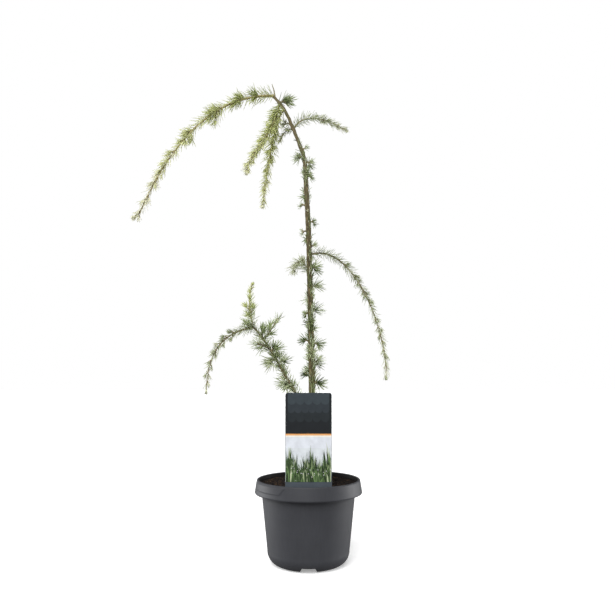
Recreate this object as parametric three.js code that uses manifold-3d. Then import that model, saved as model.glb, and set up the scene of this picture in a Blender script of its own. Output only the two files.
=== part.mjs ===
// A young weeping blue atlas cedar in its nursery pot.
//
// Millimetres, +Z up. The origin is the centre of the pot's flat underside, +X is the side that the
// long right-hand pendant hangs on, and -Y is the front, where the plant label stands.
//
// The trunk is one tapering stem from the soil to its bent-over tip. Every other limb springs from it or
// from another limb, arches over and hangs. A limb is cut along its length into bare boughs and masses
// of foliage. A mass is one stem with single needles along it, and short spurs that each carry a rosette
// of needles. Spurs and needles are placed by a seeded rule, and keep to the space nearest their own stem.

import * as THREE from "three";
import { mergeVertices } from "three/addons/utils/BufferGeometryUtils.js";
import Module from "manifold-3d";

const wasm = await Module();
wasm.setup();

// ---------------------------------------------------------------------------------------------------
// Driving dimensions
// ---------------------------------------------------------------------------------------------------

/** Clearance between neighbouring solids. */
const GAP = 0.3;

/** A three-litre injection-moulded nursery pot. */
const POT = {
  height: 146,
  sides: 40,
  wall: 2.5,
  floor: 12,
  rimInnerRadius: 87,
  rimOuterRadius: 91,
  bandRadius: 95,
  bandHeight: 24,
  bandUndercut: 3,
  bodyTopRadius: 82,
  bodyFootRadius: 72,
  footRound: 24,
  floorRound: 15,
  roundSteps: 4,
  edge: 1,
  flareShare: 0.4,
};

/** Heights at which the pot's wall starts to flare out into its rim, and at which its inside is upright again. */
const BAND_FOOT = POT.height - POT.bandHeight - POT.bandUndercut;
const INNER_BEND = BAND_FOOT + (POT.height - BAND_FOOT) * POT.flareShare;

/** Drainage notches under the foot, wider at the bottom than at the top. */
const NOTCH = { count: 4, topWidth: 22, bottomWidth: 30, height: 10, innerRadius: 34, outerRadius: 80 };

/** A flatter panel that stands proud of the rim band on the left, and how deep it is sunk into the band. */
const RIM_PANEL = { proud: 1, sunk: 2, top: 144, bottom: 131, startAngle: 197, endAngle: 243 };

/** Peat substrate: level at the wall and at the stem, with a low crown between. */
const SOIL = { edgeLevel: 138, level: 140.5, crownRadius: 60, collarRadius: 16, collarLevel: 141 };

/** A stick-in card with square shoulders and a tapering spike. */
const LABEL = {
  width: 78,
  top: 300,
  cornerRadius: 4,
  shoulder: 140,
  neck: 126,
  neckWidth: 44,
  spikeTip: 62,
  spikeTipWidth: 10,
  thickness: 0.8,
  front: -72.4,
};

/** Trunk stations from just under the cut at soil level to the bent tip. */
const TRUNK = {
  sides: 8,
  ringStep: 22,
  stations: [
    // height, lean to the right, lean to the back, radius
    [135, 0, 0, 9],
    [157, 1, 0, 6.6],
    [263, 6, 2, 6.0],
    [382, 5, 3, 5.3],
    [463, 3, 1, 5.0],
    [591, 0, -2, 4.7],
    [665, -4, -1, 4.3],
    [725, -8, 0, 3.7],
    [746, -15, 1, 3.3],
    [780, -28, 1, 3.0],
    [815, -44, 0, 2.8],
    [842, -65, 0, 2.5],
  ],
};

/** The dead stub of the old leader on the trunk's bent tip: the highest point of the plant. */
const STUB = { base: [-62, 0, 839], tip: [-67.5, 1, 865], radii: [1.6, 0.6], sides: 4, ringStep: 30 };

/** Sections of the other limbs, and the length of one step along them. */
const BOUGH = { sides: 6, ringStep: 15 };
const STEM = { sides: 3, ringStep: 9 };

/** How finely a limb's length is measured, and the step of the points that stand for it. */
const MEASURE = { divisions: 400, halvings: 40, spineStep: 3 };

/**
 * The solid heart of a rosette, as a share of its needles, and the smallest and largest it may be.
 * A heart with needles of `fullNeedle` and longer has twenty faces to carry them, a smaller one eight.
 */
const HEART = { share: 0.17, smallest: 1.9, largest: 3.2, fullNeedle: 13 };

/** How far a needle keeps from limbs, the label, the next mass's space, and the stem it grows from. */
const CLEARANCE = { limb: 1.2, label: 3, mass: 1.6, ownStem: 2 };

/**
 * Needles: the shortest as a share of the longest, how far they turn towards the way their twig grows,
 * in a rosette and on a stem, how far round the back of a rosette's heart they reach and how far a
 * stem's end faces along it (both cosines), how near a rosette a stem has none, as a share of the
 * rosette's needles, and how much more room the middle of a needle keeps than its tip.
 */
const NEEDLE = {
  shortest: 0.77,
  rosetteSweep: 0.6,
  stemSweep: 0.8,
  rosetteBack: -0.4,
  endFace: 0.8,
  bareShare: 0.6,
  middleRoom: 0.5,
};

/**
 * Spurs and short stems: radii at foot and tip, how far they lean along their limb, the spur at a
 * stem's own tip and how near the tip that is, and the length below which a rosette sits straight on
 * its stem. A mass may hold a tuft that stands a little beyond its end.
 */
const SPUR = { radii: [1.1, 0.9], lean: 0.8, tip: 1, tipZone: 2, sessile: 2.5, beyond: 3, sides: 3, ringStep: 30 };
const TUFT_STEM = { radii: [1.6, 1.3], lean: 0.5, sideSpur: 6, sideSpurBack: 2 };

/** Golden angle of the cedar's spiral leaf order, in degrees, and the play that tufts have in it. */
const GOLDEN_ANGLE = 137.5;
const SPIRAL = { sidePlay: 40, stepPlay: 0.4, spurPlay: [0.6, 1.3] };

/** How dull each surface is. */
const ROUGHNESS = { pot: 0.45, soil: 0.95, label: 0.4, bark: 0.85, youngBark: 0.8, needles: 0.7 };

const PALETTE = {
  pot: "#434447",
  soil: "#34261f",
  label: "#4b5259",
  bark: "#6b5a3a",
  youngBark: "#a08a68",
  oldNeedles: "#566b4c",
  greyNeedles: "#6f7f56",
  freshNeedles: "#8f9e4c",
};

// Each limb is a cubic curve in the upright plane of its heading. Sizes: heading from +X towards +Y,
// reach across and rise up to its tip, launch and landing angles above level at its two ends, and
// pulls, the lengths of the curve's two handles as shares of its chord. `root` names the limb that
// carries it and the place there, as a height on the trunk or a share of another limb's length.
// `pieces` cut it at distances from its root: boughs are bare, masses carry foliage.
// `tufts` are [distance along the limb, side, spur length], with side 0 up or outward, 180 under.
const LIMBS = {
  leader: {
    root: { on: "trunk", height: 842 },
    heading: 202, reach: 241, rise: -246, launch: -6, landing: -69, pulls: [0.35, 0.38],
    radii: [2.4, 0.9],
    needle: 14,
    twigNeedle: 8,
    colour: "freshNeedles",
    pieces: [
      ["leader_bough_inner", "bough", 0, 24],
      ["leader_foliage_inner", "mass", 24, 142],
      ["leader_bough_middle", "bough", 142, 165],
      ["leader_foliage_outer", "mass", 165, 208],
      ["leader_bough_outer", "bough", 208, 222],
      ["leader_foliage_tip", "mass", 222, 360],
    ],
    tufts: [
      [30, 10, 3], [61, 25, 3], [73, 120, 2], [109, -15, 4], [125, 40, 3], [118, 178, 15],
      [181, 25, 4], [180, -165, 9], [197, 140, 4],
      [230, 10, 3], [253, 40, 4], [276, -60, 3], [296, 20, 2], [322, 160, 2], [357, 0, 1],
    ],
  },
  pendant_front: {
    root: { on: "trunk", height: 828 },
    heading: 219, reach: 71, rise: -138, launch: -82, landing: -82, pulls: [0.36, 0.2],
    radii: [1.7, 0.9],
    needle: 11,
    twigNeedle: 8,
    colour: "freshNeedles",
    pieces: [["pendant_front_foliage", "mass", 0, 162]],
    tuftStep: 12,
    spur: 5,
  },
  pendant_back: {
    root: { on: "trunk", height: 816 },
    heading: 135, reach: 58, rise: -168, launch: -20, landing: -80, pulls: [0.17, 0.3],
    radii: [1.7, 0.9],
    needle: 10,
    twigNeedle: 8,
    colour: "freshNeedles",
    pieces: [["pendant_back_foliage", "mass", 0, 182]],
    tuftStep: 14,
    spur: 5,
  },
  crown: {
    root: { on: "trunk", height: 829 },
    heading: 20, reach: 13, rise: 5, launch: 40, landing: 30, pulls: [0.3, 0.3],
    radii: [1.8, 1.2],
    needle: 17,
    twigNeedle: 9,
    colour: "oldNeedles",
    pieces: [["crown_tuft", "mass", 0, 15]],
    tufts: [[12, -60, 5], [15, 30, 1], [10, 120, 6]],
  },
  top_right: {
    root: { on: "trunk", height: 779 },
    heading: 36, reach: 120, rise: 24, launch: 62, landing: -15, pulls: [0.4, 0.32],
    radii: [1.6, 0.8],
    needle: 9,
    twigNeedle: 9,
    colour: "greyNeedles",
    pieces: [
      ["top_right_bough", "bough", 0, 26],
      ["top_right_foliage", "mass", 26, 135],
    ],
    tuftStep: 14,
    spur: 2,
  },
  top_left_upper: {
    root: { on: "trunk", height: 789 },
    heading: 118, reach: 34, rise: 9, launch: 15, landing: 0, pulls: [0.38, 0.38],
    radii: [1.2, 0.8],
    needle: 9,
    twigNeedle: 7,
    colour: "greyNeedles",
    pieces: [["top_left_foliage_upper", "mass", 0, 35]],
    tuftStep: 11,
    spur: 3,
  },
  top_left_lower: {
    root: { on: "trunk", height: 780 },
    heading: 123, reach: 45, rise: -9, launch: 19, landing: -50, pulls: [0.37, 0.4],
    radii: [1.2, 0.8],
    needle: 9,
    twigNeedle: 7,
    colour: "greyNeedles",
    pieces: [["top_left_foliage_lower", "mass", 0, 49]],
    tuftStep: 12,
    spur: 3,
  },
  right: {
    root: { on: "trunk", height: 545 },
    heading: 29, reach: 168, rise: -222, launch: 22, landing: -93, pulls: [0.36, 0.31],
    radii: [1.7, 0.8],
    needle: 9,
    twigNeedle: 6,
    colour: "greyNeedles",
    pieces: [
      ["right_bough_upper", "bough", 0, 72],
      ["right_foliage_upper", "mass", 72, 184],
      ["right_bough_lower", "bough", 184, 196],
      ["right_foliage_lower", "mass", 196, 313],
    ],
    tufts: [
      [79, 10, 4], [109, 20, 4], [121, 190, 3], [144, 20, 4], [149, 200, 2], [164, -10, 4], [183, 190, 3],
      [201, 10, 4], [221, 0, 3], [234, 180, 2], [245, 30, 3], [262, 200, 2], [273, 20, 2], [292, 180, 2],
      [311, 0, 1],
    ],
  },
  middle_left: {
    root: { on: "trunk", height: 514 },
    heading: 140, reach: 40, rise: 6, launch: 60, landing: -65, pulls: [0.65, 0.65],
    radii: [1.3, 0.8],
    needle: 11,
    twigNeedle: 8,
    colour: "greyNeedles",
    pieces: [["middle_left_foliage", "mass", 0, 54]],
    tuftStep: 13,
    spur: 4,
  },
  low: {
    root: { on: "trunk", height: 258 },
    heading: 207, reach: 113, rise: 153, launch: 46, landing: 43, pulls: [0.38, 0.31],
    radii: [3.0, 1.9],
    colour: "oldNeedles",
    pieces: [["low_bough", "bough", 0, 190]],
  },
  low_upright: {
    root: { on: "low", share: 1 },
    heading: 150, reach: 4, rise: 78, launch: 70, landing: 104, pulls: [0.4, 0.4],
    radii: [1.3, 0.8],
    needle: 12,
    twigNeedle: 8,
    colour: "freshNeedles",
    pieces: [["low_upright_foliage", "mass", 1, 86]],
    tufts: [[18, 200, 7], [26, 10, 8], [33, 150, 5], [51, 60, 2], [60, 200, 2], [73, 20, 1], [84, 0, 1]],
  },
  low_weeping: {
    root: { on: "low", share: 1 },
    heading: 216, reach: 90, rise: -105, launch: -9, landing: -88, pulls: [0.45, 0.46],
    radii: [1.5, 0.8],
    needle: 10,
    twigNeedle: 8,
    colour: "freshNeedles",
    pieces: [
      ["low_weeping_bough", "bough", 1, 33],
      ["low_weeping_foliage", "mass", 33, 152],
    ],
    tufts: [
      [39, 10, 5], [43, 185, 4], [55, 15, 5], [62, 190, 4], [72, 15, 4], [84, 40, 3], [87, 190, 3],
      [104, 30, 3], [111, 180, 3], [125, -40, 2], [139, 120, 2], [150, 0, 1],
    ],
  },
  low_right: {
    root: { on: "low", share: 0.85 },
    heading: 46, reach: 33, rise: 38, launch: 47, landing: 53, pulls: [0.36, 0.36],
    radii: [1.5, 0.9],
    needle: 15,
    twigNeedle: 12,
    colour: "oldNeedles",
    pieces: [["low_right_foliage", "mass", 0, 50]],
    tufts: [[14, 180, 4], [23, 20, 4], [35, -60, 3], [48, 0, 1]],
  },
  low_left: {
    root: { on: "low", share: 0.74 },
    heading: 228, reach: 30, rise: 9, launch: 30, landing: 0, pulls: [0.4, 0.4],
    radii: [1.4, 1.0],
    needle: 20,
    twigNeedle: 10,
    colour: "oldNeedles",
    pieces: [["low_left_foliage", "mass", 0, 32]],
    tufts: [[18, 180, 3], [31, 0, 1]],
  },
};

/** Tufts on short stems of their own: name, carrier, distance along it, side, stem length, rosettes. */
const BOUGH_TUFTS = {
  needle: 17,
  colour: "oldNeedles",
  places: [
    ["low_tuft_base", "low", 72, 165, 6, 3],
    ["low_tuft_lower", "low", 120, 195, 8, 2],
    ["low_tuft_middle", "low", 112, 25, 4, 2],
    ["low_tuft_upper", "low", 138, 30, 5, 2],
    ["low_tuft_end", "low", 171, 20, 6, 3],
    ["low_tuft_fork", "low_weeping", 6, 0, 5, 2],
  ],
};

/**
 * Tufts straight on the trunk: the heading of each side, and the height of each tuft with its share of the
 * usual needle length. Stem lengths, headings and rises vary by the given spreads, and `twin` is the share
 * that has two rosettes.
 */
const TRUNK_TUFTS = {
  stem: [3.2, 5.5],
  headingSpread: 44,
  rise: [-0.15, 0.35],
  twin: 0.55,
  needleAtSoil: 22,
  needleAtTip: 12,
  sides: {
    right: {
      heading: 0,
      tufts: [
        [741, 0.6], [718, 0.9], [689, 0.5], [605, 0.5], [560, 0.6], [523, 1], [488, 1.15], [442, 1.25], [386, 1],
        [353, 0.9], [313, 0.9],
      ],
    },
    back: { heading: 90, tufts: [[655, 0.8], [575, 0.8], [470, 0.8], [410, 0.8], [335, 1]] },
    left: { heading: 180, tufts: [[728, 1], [636, 0.35], [590, 0.35], [440, 0.4], [388, 0.8], [330, 0.6]] },
    front: { heading: 270, tufts: [[697, 0.8], [420, 0.8], [366, 0.8]] },
  },
};

// ---------------------------------------------------------------------------------------------------
// Small helpers
// ---------------------------------------------------------------------------------------------------

const radians = THREE.MathUtils.degToRad;
const UP = new THREE.Vector3(0, 0, 1);

/** Seeded numbers from 0 to 1, the same each time for the same seed. */
function seeded(seed) {
  let state = Math.imul(seed + 1, 2654435761) >>> 0;
  return () => {
    state = (Math.imul(state, 1664525) + 1013904223) >>> 0;
    return state / 4294967296;
  };
}

/** Corner list and triangle list of a closed three.js geometry, with shared corners merged. */
function meshOf(geometry) {
  const bare = geometry.clone();
  bare.deleteAttribute("normal");
  bare.deleteAttribute("uv");
  const merged = mergeVertices(bare);
  const place = merged.getAttribute("position");
  const corners = [];
  for (let i = 0; i < place.count; i += 1) {
    corners.push(new THREE.Vector3().fromBufferAttribute(place, i));
  }
  const triangles = [];
  for (let i = 0; i < merged.index.count; i += 3) {
    const [a, b, c] = [0, 1, 2].map((k) => merged.index.getX(i + k));
    if (a !== b && b !== c && c !== a) {
      triangles.push([a, b, c]);
    }
  }
  return { corners, triangles };
}

/** A solid for joining and cutting. */
function solidOf({ corners, triangles }) {
  const vertProperties = new Float32Array(corners.flatMap((p) => [p.x, p.y, p.z]));
  const triVerts = new Uint32Array(triangles.flat());
  return new wasm.Manifold(new wasm.Mesh({ numProp: 3, vertProperties, triVerts }));
}

/** The largest of the pieces that a solid falls into, so that cut-off scraps are dropped. */
function largestPiece(solid) {
  const pieces = solid.decompose();
  return pieces.reduce((a, b) => (b.volume() > a.volume() ? b : a));
}

/** Raises a needle on each triangle for which tipFor gives a point: three faces in place of one. */
function raiseNeedles(mesh, tipFor) {
  const corners = [...mesh.corners];
  const triangles = [];
  for (const [a, b, c] of mesh.triangles) {
    const foot = new THREE.Vector3().add(corners[a]).add(corners[b]).add(corners[c]).divideScalar(3);
    const outward = new THREE.Triangle(corners[a], corners[b], corners[c]).getNormal(new THREE.Vector3());
    const tip = tipFor(foot, outward);
    if (tip) {
      const t = corners.push(tip) - 1;
      triangles.push([a, b, t], [b, c, t], [c, a, t]);
    } else {
      triangles.push([a, b, c]);
    }
  }
  return { corners, triangles };
}

// ---------------------------------------------------------------------------------------------------
// Limbs
// ---------------------------------------------------------------------------------------------------

/** A limb: its centre line, the level direction across it, and its radius along it. */
function makeLimb(curve, across, radiusAtShare) {
  curve.arcLengthDivisions = MEASURE.divisions;
  return { curve, across, radiusAtShare, length: curve.getLength() };
}

/** Point, growing direction, outer side and cross side of a limb at a distance along it. */
function frameOn(limb, along) {
  const share = THREE.MathUtils.clamp(along / limb.length, 0, 1);
  const point = limb.curve.getPointAt(share);
  const forward = limb.curve.getTangentAt(share);
  const outer = new THREE.Vector3().crossVectors(forward, limb.across).normalize();
  const cross = new THREE.Vector3().crossVectors(outer, forward);
  return { point, forward, outer, cross, radius: limb.radiusAtShare(share) };
}

/** Direction square to a limb at an angle round it from its outer side. */
function sideways(frame, degrees) {
  const turn = radians(degrees);
  return new THREE.Vector3()
    .addScaledVector(frame.outer, Math.cos(turn))
    .addScaledVector(frame.cross, Math.sin(turn));
}

/** Closed tapering tube along part of a limb, `extra` thicker than the limb all round. */
function limbMesh(limb, from, to, { sides, ringStep }, extra = 0) {
  const rings = Math.max(1, Math.round((to - from) / ringStep));
  const geometry = new THREE.CylinderGeometry(1, 1, 1, sides, rings);
  const place = geometry.getAttribute("position");
  for (let i = 0; i < place.count; i += 1) {
    const frame = frameOn(limb, THREE.MathUtils.lerp(from, to, place.getY(i) + 0.5));
    const radius = frame.radius + extra;
    const point = frame.point
      .addScaledVector(frame.outer, place.getX(i) * radius)
      .addScaledVector(frame.cross, place.getZ(i) * radius);
    place.setXYZ(i, point.x, point.y, point.z);
  }
  return meshOf(geometry);
}

/** The trunk's limb, through its stations. */
function trunkLimb() {
  const { stations } = TRUNK;
  const points = stations.map(([height, right, back]) => new THREE.Vector3(right, back, height));
  const curve = new THREE.CatmullRomCurve3(points, false, "centripetal");
  const lengths = points.map((point, i) => (i === 0 ? 0 : point.distanceTo(points[i - 1])));
  const total = lengths.reduce((a, b) => a + b);
  const radiusAtShare = (share) => {
    let before = 0;
    for (let i = 1; i < stations.length; i += 1) {
      const after = before + lengths[i] / total;
      if (share <= after || i === stations.length - 1) {
        const within = THREE.MathUtils.clamp((share - before) / (after - before), 0, 1);
        return THREE.MathUtils.lerp(stations[i - 1][3], stations[i][3], within);
      }
      before = after;
    }
    return stations.at(-1)[3];
  };
  return makeLimb(curve, new THREE.Vector3(0, 1, 0), radiusAtShare);
}

/** Distance along a limb at which it first reaches a height. */
function alongAtHeight(limb, height) {
  let low = 0;
  let high = limb.length;
  for (let step = 0; step < MEASURE.halvings; step += 1) {
    const middle = (low + high) / 2;
    if (frameOn(limb, middle).point.z < height) {
      low = middle;
    } else {
      high = middle;
    }
  }
  return low;
}

/** A limb from its named sizes, springing from its carrier's centre line. */
function archingLimb(size, carrier) {
  const { root, reach, rise, pulls, radii } = size;
  const along = "height" in root ? alongAtHeight(carrier, root.height) : root.share * carrier.length;
  const start = frameOn(carrier, along).point;
  const turn = radians(size.heading);
  const outward = new THREE.Vector3(Math.cos(turn), Math.sin(turn), 0);
  const direction = (degrees) =>
    new THREE.Vector3()
      .addScaledVector(outward, Math.cos(radians(degrees)))
      .addScaledVector(UP, Math.sin(radians(degrees)));
  const chord = Math.hypot(reach, rise);
  const end = start.clone().addScaledVector(outward, reach).addScaledVector(UP, rise);
  const curve = new THREE.CubicBezierCurve3(
    start,
    start.clone().addScaledVector(direction(size.launch), chord * pulls[0]),
    end.clone().addScaledVector(direction(size.landing), -chord * pulls[1]),
    end,
  );
  const across = new THREE.Vector3(-Math.sin(turn), Math.cos(turn), 0);
  return makeLimb(curve, across, (share) => THREE.MathUtils.lerp(radii[0], radii[1], share));
}

/** A short straight stem square to a carrier, or nearly so. */
function straightStem(carrier, along, direction, length, radii) {
  const start = frameOn(carrier, along).point;
  const end = start.clone().addScaledVector(direction, frameOn(carrier, along).radius + length);
  const level = Math.hypot(direction.x, direction.y) || 1;
  const across = new THREE.Vector3(-direction.y / level, direction.x / level, 0);
  const curve = new THREE.LineCurve3(start, end);
  return makeLimb(curve, across, (share) => THREE.MathUtils.lerp(radii[0], radii[1], share));
}

// ---------------------------------------------------------------------------------------------------
// The plant's plan: limbs, boughs and masses
// ---------------------------------------------------------------------------------------------------

/** Points along a stretch of a limb, for measuring how near something is. */
function spine(limb, from, to) {
  const steps = Math.max(1, Math.ceil((to - from) / MEASURE.spineStep));
  return Array.from({ length: steps + 1 }, (_, i) => {
    const { point, radius } = frameOn(limb, THREE.MathUtils.lerp(from, to, i / steps));
    return { point, radius };
  });
}

/** Evenly stepped tufts in the cedar's spiral order, with some play, and one at the tip. */
function spiralTufts(from, to, step, spur, random) {
  const { sidePlay, stepPlay, spurPlay } = SPIRAL;
  const count = Math.max(1, Math.floor((to - from) / step));
  return Array.from({ length: count }, (_, i) => {
    const behindTip = count - 1 - i;
    const side = GOLDEN_ANGLE * i + sidePlay * (random() - 0.5);
    const along = to - 1 - step * (behindTip + stepPlay * random());
    const length = spur * THREE.MathUtils.lerp(...spurPlay, random());
    return behindTip === 0 ? [to - 1, side, SPUR.tip] : [along, side, length];
  });
}

/** All limbs, and the lists of boughs and of masses that they are cut into. */
function planPlant() {
  const limbs = { trunk: trunkLimb() };
  const boughs = [];
  const masses = [];
  const addMass = (mass) => {
    masses.push({ ...mass, seed: masses.length + 1, spine: spine(mass.limb, mass.from, mass.to) });
  };

  for (const [name, size] of Object.entries(LIMBS)) {
    const limb = archingLimb(size, limbs[size.root.on]);
    limbs[name] = limb;
    for (const [pieceName, kind, start, end] of size.pieces) {
      const from = start + (start > 0 ? GAP / 2 : 0);
      const to = Math.min(end, limb.length) - GAP / 2;
      if (kind === "bough") {
        boughs.push({ name: pieceName, limb, from, to, spine: spine(limb, from, to) });
        continue;
      }
      const random = seeded(masses.length + 101);
      const tufts = size.tufts ?? spiralTufts(from + size.tuftStep, to, size.tuftStep, size.spur, random);
      const own = tufts.filter(([along]) => along >= from && along <= to + SPUR.beyond);
      const { needle, twigNeedle, colour } = size;
      addMass({ name: pieceName, limb, from, to, tufts: own, needle, twigNeedle, colour });
    }
  }

  const { needle, colour } = BOUGH_TUFTS;
  for (const [name, on, along, side, length, rosettes] of BOUGH_TUFTS.places) {
    const frame = frameOn(limbs[on], along);
    const direction = sideways(frame, side).addScaledVector(frame.forward, TUFT_STEM.lean).normalize();
    const limb = straightStem(limbs[on], along, direction, length, TUFT_STEM.radii);
    addMass({ name, limb, from: 0, to: limb.length, tufts: fan(limb, rosettes), needle, colour });
  }

  for (const [side, { heading, tufts }] of Object.entries(TRUNK_TUFTS.sides)) {
    tufts.forEach(([height, share], i) => {
      const random = seeded(height);
      const { stem, headingSpread, rise, twin, needleAtSoil, needleAtTip } = TRUNK_TUFTS;
      const turn = radians(heading + headingSpread * (random() - 0.5));
      const lift = THREE.MathUtils.lerp(...rise, random());
      const direction = new THREE.Vector3(Math.cos(turn), Math.sin(turn), lift).normalize();
      const length = THREE.MathUtils.lerp(...stem, random());
      const along = alongAtHeight(limbs.trunk, height);
      const limb = straightStem(limbs.trunk, along, direction, length, TUFT_STEM.radii);
      const high = (height - POT.height) / (STUB.tip[2] - POT.height);
      addMass({
        name: `trunk_tuft_${side}_${i + 1}`,
        limb,
        from: 0,
        to: limb.length,
        tufts: fan(limb, random() < twin ? 2 : 1),
        needle: share * THREE.MathUtils.lerp(needleAtSoil, needleAtTip, high),
        colour: "oldNeedles",
      });
    });
  }
  return { limbs, boughs, masses };
}

/** Rosettes at the end of a short stem: one on its tip, the others on spurs round it. */
function fan(limb, rosettes) {
  return Array.from({ length: rosettes }, (_, i) =>
    i === 0
      ? [limb.length, 0, SPUR.tip]
      : [limb.length - TUFT_STEM.sideSpurBack, GOLDEN_ANGLE * i, TUFT_STEM.sideSpur]);
}

// ---------------------------------------------------------------------------------------------------
// Foliage
// ---------------------------------------------------------------------------------------------------

/** Distance from a point to a spine, less the spine's own radius there when asked. */
function distanceTo(points, place, fromSurface) {
  let best = Infinity;
  for (let i = 0; i + 1 < points.length || i === 0; i += 1) {
    const a = points[i];
    const b = points[Math.min(i + 1, points.length - 1)];
    const line = new THREE.Line3(a.point, b.point);
    const near = line.closestPointToPoint(place, true, new THREE.Vector3());
    const distance = near.distanceTo(place) - (fromSurface ? Math.max(a.radius, b.radius) : 0);
    best = Math.min(best, distance);
  }
  return best;
}

/** Whether a point lies in a mass's own space, clear of the limbs, the label and the other masses. */
function isFree(place, mass, plan, extra = 0) {
  const besideLabel = Math.abs(place.x) < LABEL.width / 2 + CLEARANCE.label;
  const behindLabel = Math.abs(place.y - LABEL.front) < CLEARANCE.label + extra;
  if (besideLabel && behindLabel && place.z < LABEL.top + CLEARANCE.label) {
    return false;
  }
  const hard = [plan.trunkSpine, ...plan.boughs.map((bough) => bough.spine)];
  if (hard.some((points) => distanceTo(points, place, true) < CLEARANCE.limb + extra)) {
    return false;
  }
  const own = distanceTo(mass.spine, place, false);
  return plan.masses.every((other) =>
    other.name === mass.name || distanceTo(other.spine, place, false) > own + CLEARANCE.mass + extra);
}

/** One rosette: a small solid heart, with needles on all of its faces that look away from the spur. */
function rosette(tuft, mass, plan, random) {
  const { centre, axis } = tuft;
  const core = THREE.MathUtils.clamp(
    mass.needle * HEART.share, HEART.smallest, HEART.largest);
  const isFull = mass.needle >= HEART.fullNeedle;
  const heart = isFull ? new THREE.IcosahedronGeometry(core, 0) : new THREE.OctahedronGeometry(core, 0);
  const faceUp = new THREE.Quaternion().setFromUnitVectors(new THREE.Vector3(1, 1, 1).normalize(), UP);
  const spin = new THREE.Quaternion().setFromUnitVectors(UP, axis)
    .multiply(new THREE.Quaternion().setFromAxisAngle(UP, 2 * Math.PI * random()))
    .multiply(faceUp);
  const geometry = heart.applyQuaternion(spin).translate(centre.x, centre.y, centre.z);
  return raiseNeedles(meshOf(geometry), (foot, outward) => {
    const length = mass.needle * THREE.MathUtils.lerp(NEEDLE.shortest, 1, random());
    if (outward.dot(axis) < NEEDLE.rosetteBack) {
      return null;
    }
    const direction = outward.clone().addScaledVector(axis, NEEDLE.rosetteSweep).normalize();
    const tip = centre.clone().addScaledVector(direction, length);
    const middle = centre.clone().lerp(tip, 0.5);
    const crossesOwn = distanceTo(mass.spine, tip, true) < CLEARANCE.ownStem
      || mass.rosettes.some((other) => other !== tuft && other.centre.distanceTo(tip) < length);
    return !crossesOwn && isFree(tip, mass, plan) && isFree(middle, mass, plan, NEEDLE.middleRoom) ? tip : null;
  });
}

/** The stem of a mass, with single needles raised along it, between the rosettes. */
function stemMesh(mass, plan, random) {
  const mesh = limbMesh(mass.limb, mass.from, mass.to, STEM);
  if (!mass.twigNeedle) {
    return mesh;
  }
  let count = 0;
  return raiseNeedles(mesh, (foot, outward) => {
    count += 1;
    const length = mass.twigNeedle * THREE.MathUtils.lerp(NEEDLE.shortest, 1, random());
    const { forward } = frameOn(mass.limb, nearestAlong(mass, foot));
    const isEnd = Math.abs(outward.dot(forward)) > NEEDLE.endFace;
    const bareNear = NEEDLE.bareShare * mass.needle;
    const inRosette = mass.rosettes.some(({ centre }) => centre.distanceTo(foot) < bareNear);
    if (count % 2 === 0 || isEnd || inRosette) {
      return null;
    }
    const direction = outward.clone().addScaledVector(forward, NEEDLE.stemSweep).normalize();
    const tip = foot.clone().addScaledVector(direction, length);
    return isFree(tip, mass, plan) ? tip : null;
  });
}

/** Distance along a mass's limb nearest to a point. */
function nearestAlong(mass, place) {
  let best = { along: mass.from, distance: Infinity };
  mass.spine.forEach(({ point }, i) => {
    const distance = point.distanceTo(place);
    if (distance < best.distance) {
      best = { along: THREE.MathUtils.lerp(mass.from, mass.to, i / (mass.spine.length - 1)), distance };
    }
  });
  return best.along;
}

/** Where the rosettes of a mass sit: centre, the way each faces, and its spur. */
function placeRosettes(mass, plan) {
  return mass.tufts.map(([along, side, spur]) => {
    const frame = frameOn(mass.limb, along);
    const atTip = along > mass.to - SPUR.tipZone;
    const axis = atTip
      ? frame.forward.clone()
      : sideways(frame, side).addScaledVector(frame.forward, SPUR.lean).normalize();
    const centre = frame.point.clone().addScaledVector(axis, spur + (atTip ? 0 : frame.radius));
    return { along, axis, centre, spur };
  }).filter(({ centre }) => isFree(centre, mass, plan, HEART.smallest));
}

/** A whole mass: stem, spurs and rosettes fused, and cut clear of the limbs that it springs from. */
function massSolid(mass, plan, cutters) {
  const random = seeded(mass.seed);
  const rosettes = placeRosettes(mass, plan);
  const grown = { ...mass, rosettes };
  let solid = solidOf(stemMesh(grown, plan, random));
  for (const tuft of rosettes) {
    if (tuft.spur > SPUR.sessile) {
      const twig = straightStem(mass.limb, tuft.along, tuft.axis, tuft.spur, SPUR.radii);
      solid = solid.add(solidOf(limbMesh(twig, 0, twig.length, SPUR)));
    }
    solid = solid.add(solidOf(rosette(tuft, grown, plan, random)));
  }
  for (const cutter of cutters) {
    solid = solid.subtract(cutter);
  }
  return largestPiece(solid);
}

// ---------------------------------------------------------------------------------------------------
// Pot, soil and label
// ---------------------------------------------------------------------------------------------------

/** Points of a quarter circle about (centreRadius, centreHeight), turning between two angles. */
function arc(centreRadius, centreHeight, radius, startDegrees, endDegrees) {
  return Array.from({ length: POT.roundSteps + 1 }, (_, i) => {
    const angle = radians(THREE.MathUtils.lerp(startDegrees, endDegrees, i / POT.roundSteps));
    return [centreRadius + radius * Math.cos(angle), centreHeight + radius * Math.sin(angle)];
  });
}

/** A solid turned about the upright axis from [radius, height] points that start and end on it. */
function turned(profile) {
  const points = profile.map(([radius, height]) => new THREE.Vector2(radius, height));
  const geometry = new THREE.LatheGeometry(points, POT.sides).rotateX(Math.PI / 2);
  return solidOf(meshOf(geometry));
}

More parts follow.
